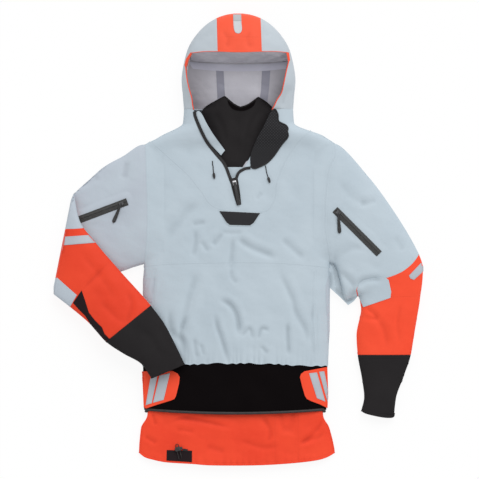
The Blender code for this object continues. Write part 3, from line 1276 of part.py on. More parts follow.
UPPER_TOP = LEFT_UPPER.outside(0.0)
LEFT_ZIP_AT = LEFT_ARMHOLE + Vector(LEFT_ZIP_START)
LEFT_ZIP_END = LEFT_ZIP_AT + heading(LEFT_ZIP_HEADING) * POCKET_ZIP_LENGTH
LEFT_ZIP = ZipLine([UPPER_TOP], LEFT_ZIP_AT, LEFT_ZIP_END, POCKET_TAPE)
ZIP_TREE = tree_of(zip_mesh("left_zip_top", LEFT_ZIP, POCKET_TAPE))
TAB_TOP = BAND.outside(SEAM * 2 + TAB_THICK + STRIPE_THICK - BAND_TUCK)
BELOW = [TORSO.outside(0.0), TAB_TOP, UPPER_TOP, ZIP_TREE]
LEFT_LOWER = left_lower_tube(FOLD, BELOW)
FOLD_LEVEL = float(LEFT_LOWER.rows[0, 4])
LEFT_FOREARM_AXIS = joint_frame("left_fold_axis", LEFT_SLEEVE, (*FOLD, FOLD_LEVEL))
report_axis("left_fold", (*FOLD, FOLD_LEVEL), (*-heading(LEFT_FOLD[2]), 0.0))
left_sleeve(LEFT_UPPER, SHOULDER_CUT)
left_forearm(LEFT_LOWER, FOLD)
right_arm(RIGHT_ARM, ELBOW, SHOULDER_CUT)

zip_set("left_pocket", LEFT_ZIP, POCKET_TAPE, LEFT_SLIDER_AT, LEFT_PULL_HEADING,
        (POCKET_PULL_LENGTH, POCKET_PULL_WIDTH), [UPPER_TOP], LEFT_SLEEVE)
pocket_bag("left_pocket_bag", LEFT_UPPER, LEFT_ZIP_AT, LEFT_ZIP_HEADING, LEFT_SLEEVE, 1.0, (1.0, 3.0))
RIGHT_TOP = RIGHT_ARM.outside(0.0)
RIGHT_ZIP_AT = RIGHT_ARMHOLE + Vector(RIGHT_ZIP_START)
RIGHT_ZIP_END = RIGHT_ZIP_AT + heading(RIGHT_ZIP_HEADING) * POCKET_ZIP_LENGTH
RIGHT_ZIP = ZipLine([RIGHT_TOP], RIGHT_ZIP_AT, RIGHT_ZIP_END, POCKET_TAPE)
zip_set("right_pocket", RIGHT_ZIP, POCKET_TAPE, RIGHT_SLIDER_AT, RIGHT_PULL_HEADING,
        (POCKET_PULL_LENGTH, POCKET_PULL_WIDTH), [RIGHT_TOP], RIGHT_SLEEVE)
pocket_bag("right_pocket_bag", RIGHT_ARM, RIGHT_ZIP_AT, RIGHT_ZIP_HEADING, RIGHT_SLEEVE, -1.0, (1.0, 3.2))
TORSO_TOP = TORSO.outside(0.0)
MAIN_ZIP = ZipLine([TORSO_TOP], ZIP_TOP, ZIP_BOTTOM, MAIN_TAPE)
MAIN_HEADING = math.degrees(math.atan2(MAIN_ZIP.run.y, MAIN_ZIP.run.x))
zip_set("main", MAIN_ZIP, MAIN_TAPE, MAIN_SLIDER_AT, MAIN_HEADING,
        (MAIN_PULL_LENGTH, MAIN_PULL_WIDTH), [TORSO_TOP], JACKET)

FLAP_TOPS = fold_line([TORSO_TOP], FLAP_FOLD, SEAM + FLAP_THICK)
CHIN_FLAP = joint_frame("chin_flap_axis", JACKET, FLAP_TOPS[0])
report_axis("chin_flap", FLAP_TOPS[0], FLAP_TOPS[0] - FLAP_TOPS[1])
chin_flap(TORSO)
hood_cord("left", LEFT_CORD, [TORSO_TOP])
hood_cord("right", RIGHT_CORD, [TORSO_TOP])
hem_cord(PATCH_CENTRE, [SKIRT.outside(-SKIRT_TUCK)])
settle()
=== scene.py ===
# %% [markdown]
# # A hooded paddling jacket, laid flat
# The jacket lies on its back and is seen from straight above: one forearm folded over its sleeve,
# the other arm bent, the zip half open. The imported solids are a fixed frame. Every cloth, zip and
# cord made here takes its place from that frame, and most of them move with one of its bodies.

# %% Load the frame
import math

import bpy
import numpy as np
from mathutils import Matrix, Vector
from mathutils.bvhtree import BVHTree
from mathutils.geometry import delaunay_2d_cdt


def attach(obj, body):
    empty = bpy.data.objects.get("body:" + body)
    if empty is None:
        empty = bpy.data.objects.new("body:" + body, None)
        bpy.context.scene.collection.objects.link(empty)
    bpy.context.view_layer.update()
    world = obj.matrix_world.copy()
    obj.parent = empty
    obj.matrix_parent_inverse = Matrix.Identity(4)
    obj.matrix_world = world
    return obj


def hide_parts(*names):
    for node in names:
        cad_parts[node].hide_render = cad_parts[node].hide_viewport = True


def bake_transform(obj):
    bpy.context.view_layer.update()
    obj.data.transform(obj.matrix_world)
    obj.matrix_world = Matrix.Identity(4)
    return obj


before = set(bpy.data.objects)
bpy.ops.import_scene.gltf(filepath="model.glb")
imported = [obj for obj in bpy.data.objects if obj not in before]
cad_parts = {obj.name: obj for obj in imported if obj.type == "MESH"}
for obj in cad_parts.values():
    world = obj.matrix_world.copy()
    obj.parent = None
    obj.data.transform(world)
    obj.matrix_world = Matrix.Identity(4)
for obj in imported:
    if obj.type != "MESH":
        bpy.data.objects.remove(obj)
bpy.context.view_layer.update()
SCENE = bpy.context.scene

# %% [markdown]
# ## Camera
# The photograph looks straight down with a long lens, so that the jacket shows no perspective to
# speak of. One pixel of its 479 is 2.75 mm on the table. A camera that isn't turned looks down -Z
# with +Y at the top of the picture, which is what is needed here.

# %% Camera straight above the table
PHOTO_SIDE = 479
PHOTO_MIDDLE = (238.34, 239.09)
PIXEL = 0.00275
CAMERA_AT = (0.0032, -0.0011, 20.0)
CLOTH_LEVEL = 0.03

SCENE.view_settings.view_transform = "Standard"
lens = bpy.data.cameras.new("camera")
lens.lens = lens.sensor_width * (CAMERA_AT[2] - CLOTH_LEVEL) / (PHOTO_SIDE * PIXEL)
lens.clip_end = 60.0
camera = bpy.data.objects.new("camera", lens)
camera.location = CAMERA_AT
SCENE.collection.objects.link(camera)
SCENE.camera = camera


def spots(*pairs):
    """Places of the photograph, in pixels, as places on the table, in metres."""
    return [((x - PHOTO_MIDDLE[0]) * PIXEL, (PHOTO_MIDDLE[1] - y) * PIXEL) for x, y in pairs]


print("lens", round(lens.lens, 1), "mm")

# %% [markdown]
# ## Arithmetic on sockets
# A finish is easier to read as a formula than as a list of nodes. A Wire is one output socket:
# adding, multiplying or comparing it adds a Math node. Everything else goes through add, which
# makes a node of any type, sets it up, and fills its sockets with values or wires.

# %% Wires and finishes
class Wire:
    """An output socket that takes part in sums; each step adds a Math node."""

    def __init__(self, finish, socket):
        self.finish, self.socket = finish, socket

    def math(self, operation, first, second=None):
        sockets = {0: first} if second is None else {0: first, 1: second}
        return self.finish.add("ShaderNodeMath", {"operation": operation}, sockets)

    def __add__(self, other):
        return self.math("ADD", self, other)

    __radd__ = __add__

    def __sub__(self, other):
        return self.math("SUBTRACT", self, other)

    def __rsub__(self, other):
        return self.math("SUBTRACT", other, self)

    def __mul__(self, other):
        return self.math("MULTIPLY", self, other)

    __rmul__ = __mul__

    def __truediv__(self, other):
        return self.math("DIVIDE", self, other)

    def __lt__(self, other):
        return self.math("LESS_THAN", self, other)

    def __abs__(self):
        return self.math("ABSOLUTE", self)

    def sine(self):
        return self.math("SINE", self)

    def fraction(self):
        return self.math("FRACT", self)

    def most(self, other):
        return self.math("MAXIMUM", self, other)

    def least(self, other):
        return self.math("MINIMUM", self, other)

    def clamp(self):
        return self.most(0.0).least(1.0)


class Finish:
    """A material built node by node; the slot it is given is kept but not used."""

    def __init__(self, name, slot):
        self.material = bpy.data.materials.new(name)
        self.material.use_nodes = True
        self.slot = slot
        self.tree = self.material.node_tree
        self.shader = self.tree.nodes["Principled BSDF"]

    def add(self, kind, settings=None, sockets=None, output=0):
        node = self.tree.nodes.new(kind)
        for key, value in (settings or {}).items():
            setattr(node, key, value)
        for key, value in (sockets or {}).items():
            self.feed(node.inputs[key], value)
        if isinstance(output, tuple):
            return [Wire(self, node.outputs[name]) for name in output]
        return Wire(self, node.outputs[output])

    def feed(self, socket, value):
        if isinstance(value, Wire):
            self.tree.links.new(value.socket, socket)
        elif isinstance(value, tuple) and socket.type == "RGBA":
            socket.default_value = (*value, 1.0)
        else:
            socket.default_value = value

    def set(self, **values):
        for key, value in values.items():
            self.feed(self.shader.inputs[key.replace("_", " ").title()], value)

    def mix(self, share, first, second):
        return self.add("ShaderNodeMix", {"data_type": "RGBA"}, {0: share, 6: first, 7: second}, 2)

    def places(self):
        """The place on the piece, and its two measures on the table."""
        vector = self.add("ShaderNodeTexCoord", output="Object")
        return vector, *self.add("ShaderNodeSeparateXYZ", None, {0: vector}, ("X", "Y"))

    def noise(self, vector, scale, detail=2.0):
        return self.add("ShaderNodeTexNoise", None,
                        {"Vector": vector, "Scale": scale, "Detail": detail}, "Fac")

    def drawn(self, name):
        return self.add("ShaderNodeAttribute", {"attribute_name": name}, None, "Fac")

    def matt(self, shine, sheen=0.0):
        """Strength of the mirror-like share and of the fuzz at grazing angles."""
        self.shader.inputs["Specular IOR Level"].default_value = shine
        self.shader.inputs["Sheen Weight"].default_value = sheen

    def raise_by(self, height):
        """Bump from a height in metres."""
        bump = self.add("ShaderNodeBump", None,
                        {"Height": height, "Distance": 1.0, "Strength": 1.0})
        self.set(normal=bump)


def paint(red, green, blue):
    """A colour picked from the photograph, in the linear values that a shader takes."""
    parts = [value / 255 for value in (red, green, blue)]
    return tuple(p / 12.92 if p <= 0.04045 else ((p + 0.055) / 1.055) ** 2.4 for p in parts)


# %% [markdown]
# ## Shell cloth
# The jacket's shell is a coated nylon laminate: a matt face with a fine plain weave, which creases
# softly when it is laid out. Seams are double stitched. Each vertex carries its distance from the
# nearest seam and its place along that seam, so two rows of stitches and the dent of the seam can
# be drawn from these two numbers at any zoom, without a mesh for each thread. A third number is the
# depth of the crease that a vertex lies in, and the colour is darkened there as painted shade.

# %% Shell cloth in grey and orange
WEAVE = 0.0011
STITCH_ROWS = (0.0026, 0.0075)
STITCH, STITCH_SHARE = 0.0042, 0.66
THREAD = 0.0006
SEAM_DENT = 0.0022
# Crease depth at which the painted crease shade is full.
HOLLOW_FULL = 0.0022


def stitches(finish, rows=STITCH_ROWS):
    """Rows of thread beside a seam, and the dent of the seam itself."""
    seam, run = finish.drawn("seam"), finish.drawn("run")
    dash = (run / STITCH).fraction() < STITCH_SHARE
    thread = None
    for row in rows:
        sewn = (1.0 - abs(seam - row) / THREAD).most(0.0) * dash
        thread = sewn if thread is None else thread + sewn
    dent = (1.0 - seam / SEAM_DENT).most(0.0)
    return thread, dent


def shell_cloth(name, slot, colour, shade, gloss=0.66):
    """Coated nylon: two close tones, a fine weave, stitched seams and painted shade in its creases.
    """
    finish = Finish(name, slot)
    vector, x, y = finish.places()
    weave = (x * (math.tau / WEAVE)).sine() * (y * (math.tau / WEAVE)).sine()
    soft = finish.noise(vector, 9.0, 3.0)
    crinkle = finish.noise(vector, 70.0, 4.0)
    grain = finish.noise(vector, 900.0, 1.0)
    thread, dent = stitches(finish)
    tone = finish.mix((soft * 1.6 - 0.3).clamp(), shade, colour)
    worn = finish.mix((crinkle * 0.35 + grain * 0.15).most(0.0), tone, colour)
    sewn = finish.mix((thread * 0.1 + dent * 0.12).least(1.0), worn, tuple(c * 0.55 for c in shade))
    # Painted shade: the colour darkens towards a dark shade tone where the vertex lies in a crease.
    crease_shade = (finish.drawn("hollow") / HOLLOW_FULL).clamp()
    shaded = finish.mix(crease_shade * 0.45, sewn, tuple(c * 0.6 for c in shade))
    finish.set(base_color=shaded, roughness=gloss - 0.1 * crinkle + 0.06 * weave)
    finish.raise_by(weave * 0.000012 + crinkle * 0.0006 + soft * 0.0012 + thread * 0.00015
                    - dent * 0.0003)
    finish.matt(0.15)
    return finish


GREY = shell_cloth("grey_shell", "shell_grey", paint(190, 203, 212), paint(178, 192, 202))
HOOD_GREY = shell_cloth("hood_shell", "shell_grey", paint(192, 201, 208), paint(178, 187, 195))
LILAC_GREY = shell_cloth("sleeve_shell", "shell_grey", paint(187, 198, 207), paint(178, 184, 196))
ORANGE = shell_cloth("orange_shell", "shell_orange", paint(252, 86, 56), paint(240, 72, 44))
DEEP_ORANGE = shell_cloth("deep_orange_shell", "shell_orange", paint(236, 74, 46),
                          paint(220, 60, 36))
SKIRT_ORANGE = shell_cloth("skirt_shell", "shell_orange", paint(248, 80, 50), paint(226, 58, 36))
HOOD_ORANGE = shell_cloth("hood_orange", "shell_orange", paint(248, 98, 70), paint(240, 86, 58))
print("shell cloth:", GREY.material.name, ORANGE.material.name)

# %% [markdown]
# ## Neoprene and knit
# Cuffs, waistband and neck gaiter are neoprene with a knitted face: nearly black, quite matt, with
# fine ribs that run along the piece. The ribs are a sine wave; a coarser noise gives the slight
# greying of handled neoprene.

# %% Neoprene, rubber and seals
def neoprene(name, slot, colour, rub, rib=0.0016, gloss=0.8, shine=0.06):
    """Neoprene with a ribbed knit face, greyed a little where it is handled."""
    finish = Finish(name, slot)
    vector, x, y = finish.places()
    ribs = (x * (math.tau / rib)).sine()
    cross = (y * (math.tau / rib * 0.5)).sine()
    handled = finish.noise(vector, 16.0, 4.0)
    pile = finish.noise(vector, 1100.0, 2.0)
    thread, dent = stitches(finish, (0.003,))
    tone = finish.mix((handled * 1.5 - 0.35).clamp(), colour, rub)
    knit = finish.mix((pile * 0.5 + ribs * 0.1 + thread * 0.25).clamp(), tone, rub)
    finish.set(base_color=knit, roughness=gloss - 0.1 * pile)
    finish.raise_by(ribs * 0.00005 + cross * 0.00003 + pile * 0.00008 + handled * 0.0012
                    - dent * 0.0005)
    finish.matt(shine)
    return finish


CUFF_KNIT = neoprene("cuff_neoprene", "neoprene", paint(36, 34, 35), paint(42, 40, 41))
GAITER_KNIT = neoprene("gaiter_neoprene", "neoprene", paint(33, 31, 32), paint(44, 42, 43))
BAND_KNIT = neoprene("waistband_neoprene", "neoprene", paint(9, 6, 7), paint(14, 10, 11), gloss=0.9,
                     shine=0.04)
PATCH_BLACK = neoprene("patch_neoprene", "neoprene", paint(45, 45, 47), paint(54, 54, 56), 0.0012)
GUSSET_BLACK = neoprene("gusset_neoprene", "neoprene", paint(32, 24, 27), paint(42, 34, 36))
SEAL = neoprene("wrist_latex", "latex", paint(22, 21, 21), paint(34, 33, 33), 0.004, gloss=0.45)


def moulded(name, slot, colour, worn, gloss=0.5, rib=0.0):
    """Moulded rubber or plastic with a fine grain, paler where it is rubbed."""
    finish = Finish(name, slot)
    vector, x, y = finish.places()
    grain = finish.noise(vector, 1400.0, 2.0)
    rub = finish.noise(vector, 120.0, 3.0)
    height = grain * 0.00004
    if rib:
        height = height + ((x + y) * (math.tau / rib)).sine() * 0.00018
    finish.set(base_color=finish.mix((rub * 1.8 - 0.6).clamp(), colour, worn),
               roughness=gloss + 0.15 * grain)
    finish.raise_by(height)
    finish.matt(0.3)
    return finish


RUBBER = moulded("moulded_rubber", "rubber", paint(42, 42, 43), paint(62, 62, 63), 0.45)
PULL = moulded("pull_rubber", "rubber", paint(38, 38, 39), paint(66, 66, 67), 0.4, 0.004)
GRIP = moulded("grip_rubber", "rubber", paint(42, 39, 39), paint(58, 55, 55), 0.4)
GLOSS_CORD = moulded("elastic_cord", "rubber", paint(24, 22, 23), paint(58, 56, 56), 0.3, 0.0022)
print("neoprene and rubber made")

# %% [markdown]
# ## Trims
# Reflective tape is a dense bed of glass beads on cloth: it reads as flat light grey with a fine
# diamond print. Zips have a woven tape with a moulded coil. The chin flap is lined with a dotted
# fleece. The inside of the hood is a satin backer with heat-sealed tapes over its seams.

# %% Reflective tape, zip, metal, lining
PRINT = 0.0022


def reflective(name, colour, shade):
    """Glass beads on cloth, with a diamond print."""
    finish = Finish(name, "reflective")
    vector, x, y = finish.places()
    first = ((x + y) * (math.tau / PRINT)).sine()
    second = ((x - y) * (math.tau / PRINT)).sine()
    beads = finish.noise(vector, 2500.0, 1.0)
    soft = finish.noise(vector, 28.0, 3.0)
    thread, dent = stitches(finish, (0.0025,))
    print_share = (first * second * 0.25 + soft * 0.9).clamp()
    tone = finish.mix(print_share, shade, colour)
    sewn = finish.mix(thread * 0.35 + dent * 0.2, tone, tuple(c * 0.5 for c in shade))
    finish.set(base_color=sewn, roughness=0.38 + 0.25 * beads)
    finish.raise_by(beads * 0.00003 + first * second * 0.00002 + soft * 0.0005 - dent * 0.0003)
    finish.matt(0.4)
    return finish


REFLECTIVE = reflective("reflective_tape", paint(188, 194, 202), paint(170, 176, 184))
HOOD_REFLECTIVE = reflective("hood_reflective", paint(206, 208, 212), paint(190, 193, 197))
# Painted shadow: a darker copy of the hood's reflective tape, for the end of its tab.
HOOD_TAPE_END_SHADE = reflective("hood_tape_end_shade", paint(186, 189, 192), paint(168, 171, 174))
GUARD_GREY = reflective("guard_tape", paint(190, 203, 211), paint(176, 189, 198))


def zip_tape(name, colour, ridge):
    """Woven zip tape: a fine twill across the tape."""
    finish = Finish(name, "zip")
    vector, x, y = finish.places()
    twill = ((x * 1.3 + y) * (math.tau / 0.0014)).sine()
    dust = finish.noise(vector, 200.0, 3.0)
    thread = stitches(finish, (0.002,))[0]
    share = (twill * 0.25 + dust * 0.7 + thread * 0.5).clamp()
    finish.set(base_color=finish.mix(share, colour, ridge), roughness=0.6 - 0.15 * dust)
    finish.raise_by(twill * 0.00006 + dust * 0.0002)
    finish.matt(0.22)
    return finish


TAPE_BLACK = zip_tape("zip_tape_black", paint(26, 25, 26), paint(52, 51, 52))
TAPE_GREY = zip_tape("zip_tape_grey", paint(46, 46, 46), paint(82, 82, 81))
COIL = moulded("zip_coil", "zip", paint(34, 34, 34), paint(74, 74, 74), 0.3)


def metal(name, colour, worn):
    """Cast metal, brighter where its paint is rubbed off."""
    finish = Finish(name, "zip_slider")
    rub = finish.noise(finish.places()[0], 260.0, 4.0)
    share = (rub * 2.4 - 0.8).clamp()
    finish.set(base_color=finish.mix(share, colour, worn), roughness=0.28 + 0.25 * rub,
               metallic=share * 0.4 + 0.6)
    finish.raise_by(rub * 0.00006)
    return finish


SLIDER_STEEL = metal("slider_steel", paint(150, 150, 152), paint(225, 225, 228))
SLIDER_DARK = metal("slider_dark", paint(44, 44, 45), paint(110, 110, 112))


def satin(name, slot, colour, shade, crease, corner=None):
    """The hood's backer: satin with small sharp creases that catch the light, and painted corner
    shade.
    """
    finish = Finish(name, slot)
    vector, x, y = finish.places()
    broad = finish.noise(vector, 14.0, 3.0)
    fine = finish.noise(vector, 48.0, 5.0)
    weave = ((x + y * 0.3) * (math.tau / 0.0012)).sine()
    share = (broad * 1.5 - 0.3).clamp()
    tone = finish.mix(share, shade, colour)
    # Painted shade: darker towards the lower outer corners, where the hood's opening shades the
    # lining.
    if corner:
        outward = ((abs(x) - 0.05) / 0.08).clamp()
        low = ((0.53 - y) / 0.16).clamp()
        tone = finish.mix(outward * low * 0.85, tone, corner)
    finish.set(base_color=tone, roughness=0.42 + 0.2 * fine)
    finish.raise_by(fine * crease + broad * crease * 1.5 + weave * 0.00001)
    finish.matt(0.4, 0.1)
    return finish


# The last colour is the painted shade of the lining's lower corners.
LINING = satin("hood_lining", "lining", paint(208, 207, 215), paint(188, 187, 196), 0.0016,
               paint(104, 95, 101))
FACING = satin("brim_facing", "lining", paint(215, 213, 222), paint(180, 178, 188), 0.004)
SEALED = satin("sealed_tape", "seam_tape", paint(150, 150, 163), paint(138, 138, 152), 0.0005)
# Painted light: the same sealed tape, much paler, to make up for the shadow of the brim's facing
# over it.
SEALED_CROSS_LIT = satin("sealed_cross_tape_lit", "seam_tape", paint(206, 206, 220), paint(192, 192, 208),
                     0.0005)
MESH_BAG = satin("pocket_lining", "lining", paint(150, 150, 156), paint(130, 130, 138), 0.0008)


def dotted_fleece():
    """Black fleece lining printed with a staggered grid of small grey dots."""
    finish = Finish("dotted_fleece", "neoprene")
    vector, x, y = finish.places()
    pitch = 0.008
    pile = finish.noise(vector, 800.0, 3.0)
    dots = None
    for shift in (0.0, 0.5):
        across = (x / pitch + shift).fraction() - 0.5
        along = (y / pitch + shift).fraction() - 0.5
        spot = (across * across + along * along) < 0.03
        dots = spot if dots is None else dots + spot
    thread, dent = stitches(finish, (0.004,))
    black = finish.mix(pile * 0.8, paint(33, 33, 35), paint(48, 48, 50))
    worn = ((y - 0.236) / 0.03).clamp() * ((x - 0.035) / 0.02).clamp()
    dotted = finish.mix(dots * worn * 0.24 + thread * 0.1, black, paint(104, 104, 108))
    finish.set(base_color=dotted, roughness=0.85 - 0.2 * dots)
    finish.raise_by(pile * 0.0003 - dots * worn * 0.0004 - dent * 0.0005)
    finish.matt(0.15)
    return finish


FLEECE = dotted_fleece()
print("trims made")

# %% [markdown]
# ## Table and light
# The photograph has a pure white ground and soft, even light from a large source, a little stronger
# from the top. A white world gives most of the light and a broad sun gives the rest, so a
# fold shows by a few per cent of brightness, as in the photograph. Most of the floor's white is its
# own glow, so that it stays white and keeps only a faint shadow.

# %% Floor, world and sun
SKY_LEVEL = 0.66
SUN_TILT = 42.0
SUN_FROM = 70.0
SUN_SIZE = 40.0
FLOOR_GLOW = 0.9
FLOOR_HALF, FLOOR_LEVEL = 6.0, -0.0008
WHITE = (1.0, 1.0, 1.0, 1.0)


def ground():
    """A white floor just below the jacket."""
    signs = (-1, -1), (1, -1), (1, 1), (-1, 1)
    corners = [(x * FLOOR_HALF, y * FLOOR_HALF, FLOOR_LEVEL) for x, y in signs]
    mesh = bpy.data.meshes.new("floor")
    mesh.from_pydata(corners, [], [(0, 1, 2, 3)])
    floor = bpy.data.objects.new("floor", mesh)
    SCENE.collection.objects.link(floor)
    look = bpy.data.materials.new("floor_white")
    look.use_nodes = True
    tree = look.node_tree
    tree.nodes.clear()
    plain = tree.nodes.new("ShaderNodeBsdfDiffuse")
    plain.inputs["Color"].default_value = WHITE
    glow = tree.nodes.new("ShaderNodeEmission")
    mixed = tree.nodes.new("ShaderNodeMixShader")
    mixed.inputs[0].default_value = FLOOR_GLOW
    out = tree.nodes.new("ShaderNodeOutputMaterial")
    tree.links.new(plain.outputs[0], mixed.inputs[1])
    tree.links.new(glow.outputs[0], mixed.inputs[2])
    tree.links.new(mixed.outputs[0], out.inputs[0])
    mesh.materials.append(look)


def sky():
    """A white world: full white to the camera and in reflections, dimmer as a light."""
    world = bpy.data.worlds.new("white_sky")
    SCENE.world = world
    world.use_nodes = True
    tree = world.node_tree
    tree.nodes.clear()
    dim = tree.nodes.new("ShaderNodeBackground")
    dim.inputs["Strength"].default_value = SKY_LEVEL
    bright = tree.nodes.new("ShaderNodeBackground")
    for node in (dim, bright):
        node.inputs["Color"].default_value = WHITE
    path = tree.nodes.new("ShaderNodeLightPath")
    seen = path.outputs["Is Camera Ray"]
    for name in ("Is Glossy Ray", "Is Transmission Ray"):
        most = tree.nodes.new("ShaderNodeMath")
        most.operation = "MAXIMUM"
        tree.links.new(seen, most.inputs[0])
        tree.links.new(path.outputs[name], most.inputs[1])
        seen = most.outputs[0]
    mixed = tree.nodes.new("ShaderNodeMixShader")
    out = tree.nodes.new("ShaderNodeOutputWorld")
    tree.links.new(seen, mixed.inputs[0])
    tree.links.new(dim.outputs[0], mixed.inputs[1])
    tree.links.new(bright.outputs[0], mixed.inputs[2])
    tree.links.new(mixed.outputs[0], out.inputs[0])


def sun():
    """A broad lamp from the top of the picture, for the light that the sky leaves."""
    data = bpy.data.lights.new("window", "SUN")
    data.energy = (1.0 - SKY_LEVEL) * math.pi / math.cos(math.radians(SUN_TILT))
    data.angle = math.radians(SUN_SIZE)
    lamp = bpy.data.objects.new("window", data)
    tilt, turn = math.radians(SUN_TILT), math.radians(SUN_FROM)
    towards = Vector((-math.sin(tilt) * math.cos(turn), -math.sin(tilt) * math.sin(turn),
                      -math.cos(tilt)))
    lamp.rotation_euler = towards.to_track_quat("-Z", "Y").to_euler()
    SCENE.collection.objects.link(lamp)


ground()
sky()
sun()
print("sky", SKY_LEVEL, "and sun", round(1 - SKY_LEVEL, 2))

# %% [markdown]
# ## Cords
# Two elastic drawcords come out of the yoke under the hood, and a third makes a loop at the skirt's
# hem with a cord lock on it. They are curves with a round section, laid on the same points as in
# the frame.

# %% Drawcords
SPLINE_STEPS = 16


def smooth(points, count):
    """Evenly spaced places on a Catmull-Rom curve through the points."""
    points = np.array(points, float)
    knots = np.vstack([2 * points[:1] - points[1:2], points, 2 * points[-1:] - points[-2:-1]])
    fine = []
    for a, b, c, d in zip(knots, knots[1:], knots[2:], knots[3:]):
        for t in np.linspace(0.0, 1.0, SPLINE_STEPS, endpoint=False):
            fine.append(0.5 * (2 * b + (c - a) * t + (2 * a - 5 * b + 4 * c - d) * t ** 2
                               + (3 * b - a - 3 * c + d) * t ** 3))
    fine = np.array(fine + [points[-1]])
    gone = np.concatenate([[0.0], np.cumsum(np.linalg.norm(np.diff(fine, axis=0), axis=1))])
    wanted = np.linspace(0.0, gone[-1], count)
    return np.stack([np.interp(wanted, gone, fine[:, axis]) for axis in range(points.shape[1])],
                    axis=1)


def length_of(points):
    """Length of a line through points."""
    return float(np.linalg.norm(np.diff(np.array(points), axis=0), axis=1).sum())


def elastic(name, points, diameter, node):
    """A round cord along points, which stands for one solid of the frame."""
    data = bpy.data.curves.new(name, "CURVE")
    data.dimensions = "3D"
    data.bevel_depth = diameter / 2
    data.bevel_resolution = 4
    data.use_fill_caps = True
    run = data.splines.new("POLY")
    run.points.add(len(points) - 1)
    for spot, place in zip(run.points, points):
        spot.co = (*place, 1.0)
    data.materials.append(GLOSS_CORD.material)
    cord = bpy.data.objects.new(name, data)
    SCENE.collection.objects.link(cord)
    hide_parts(node)
    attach(cord, "torso")
    return cord


LEFT_ROUTE = smooth([(-0.07105, 0.2145, 0.05786), (-0.07075, 0.207, 0.05823),
                     (-0.06935, 0.199, 0.05864), (-0.06905, 0.191, 0.05903),
                     (-0.06775, 0.1815, 0.05951)], 17)
RIGHT_ROUTE = smooth([(0.07395, 0.2025, 0.05845), (0.07565, 0.195, 0.05878),
                      (0.07695, 0.187, 0.05914), (0.07865, 0.179, 0.05947),
                      (0.08165, 0.17, 0.05972)], 17)
LOOP_ROUTE = smooth(
    [(-0.16328, -0.60458, 0.02422), (-0.16434, -0.60034, 0.02671), (-0.16531, -0.59646, 0.02801),
     (-0.16823, -0.58473, 0.02811), (-0.1714, -0.57243, 0.02811), (-0.17223, -0.56769, 0.02811),
     (-0.17157, -0.56531, 0.02811), (-0.17018, -0.5641, 0.02811), (-0.16842, -0.56384, 0.02811),
     (-0.16664, -0.56404, 0.02811), (-0.16526, -0.56518, 0.02811), (-0.16438, -0.56698, 0.02811),
     (-0.16224, -0.57568, 0.02811), (-0.15846, -0.59084, 0.02811), (-0.15754, -0.59453, 0.02801),
     (-0.15658, -0.5984, 0.02671), (-0.15552, -0.60265, 0.02422)], 39)
CORDS = {"left": elastic("left_drawcord", LEFT_ROUTE, 0.0025, "left_hood_cord"),
         "right": elastic("right_drawcord", RIGHT_ROUTE, 0.0025, "right_hood_cord"),
         "hem": elastic("hem_drawcord", LOOP_ROUTE, 0.002, "hem_cord_loop")}
print("cord lengths",
      [round(length_of(route), 4) for route in (LEFT_ROUTE, RIGHT_ROUTE, LOOP_ROUTE)])

# %% [markdown]
# ## Sections of the garment
# Body, sleeves, hood, gaiter, waistband and skirt are flattened tubes. Each row is one section: the
# two side edges on the table, then floor and top. Between rows a cubic runs that never overshoots.
# The section itself is a superellipse, rounder above than below, where the cloth lies on the table.

# %% Flattened tubes
TINY = 1e-12
ROUND_POWER, FLAT_POWER = 2.3, 5.0
WIDEST = 0.35
FLAT_GAIN = 1.03


class Tube:
    """A flattened tube through rows of (x, y of one edge, x, y of the other, floor, top)."""

    def __init__(self, *rows):
        self.rows = np.array(rows, float)
        self.last = len(rows) - 1
        rise = np.diff(self.rows, axis=0)
        before, after = rise[:-1], rise[1:]
        whole = np.where(np.abs(before + after) < TINY, 1.0, before + after)
        bend = np.where(before * after > 0.0, 2.0 * before * after / whole, 0.0)
        self.slopes = np.vstack([rise[:1], bend, rise[-1:]])

    def row(self, where):
        """The section at a place along the tube, counted in rows."""
        start = np.clip(np.floor(where).astype(int), 0, self.last - 1)
        t = (where - start)[..., None]
        first, second = self.rows[start], self.rows[start + 1]
        leave, arrive = self.slopes[start], self.slopes[start + 1]
        return (first * (1 + 2 * t) * (1 - t) ** 2 + leave * t * (1 - t) ** 2
                + second * t * t * (3 - 2 * t) + arrive * t * t * (t - 1))

    def at(self, where, angle, grow=0.0):
        """Places on the tube: where along it, at what angle round it, how far outside it."""
        where, angle = np.broadcast_arrays(np.asarray(where, float), np.asarray(angle, float))
        row = self.row(where)
        first, second, low, high = row[..., 0:2], row[..., 2:4], row[..., 4], row[..., 5]
        across = (first - second) / 2
        half = np.linalg.norm(across, axis=-1)
        side, rise = np.cos(angle), np.sin(angle)
        upper = rise >= -TINY
        power = np.where(upper, ROUND_POWER, FLAT_POWER)
        along = np.sign(side) * np.abs(side) ** (2 / power) * (half + grow) / half
        edge = low + WIDEST * (high - low)
        lift = np.abs(rise) ** (2 / power)
        z = np.where(upper, edge + lift * (high - edge + grow),
                     edge - np.minimum(lift * FLAT_GAIN, 1.0) * (edge - low + grow))
        flat = (first + second) / 2 + across * along[..., None]
        return np.concatenate([flat, z[..., None]], axis=-1)

    def where_y(self, y):
        """Where along the tube its first edge passes a y."""
        fine = np.linspace(0.0, self.last, 400)
        found = self.row(fine)[:, 1]
        order = np.argsort(found)
        return float(np.interp(y, found[order], fine[order]))

    def edge(self, side, start, stop, count=30):
        """Places along one side edge: side 0 is the first edge of the rows, side 1 the other."""
        row = self.row(np.linspace(start, stop, count))
        return [tuple(place) for place in row[:, 2 * side:2 * side + 2]]

    def nearest(self, side, place):
        """Where along the tube one of its edges comes nearest to a place on the table."""
        fine = np.linspace(0.0, self.last, 600)
        row = self.row(fine)[:, 2 * side:2 * side + 2]
        return float(fine[np.argmin(np.linalg.norm(row - np.array(place), axis=1))])


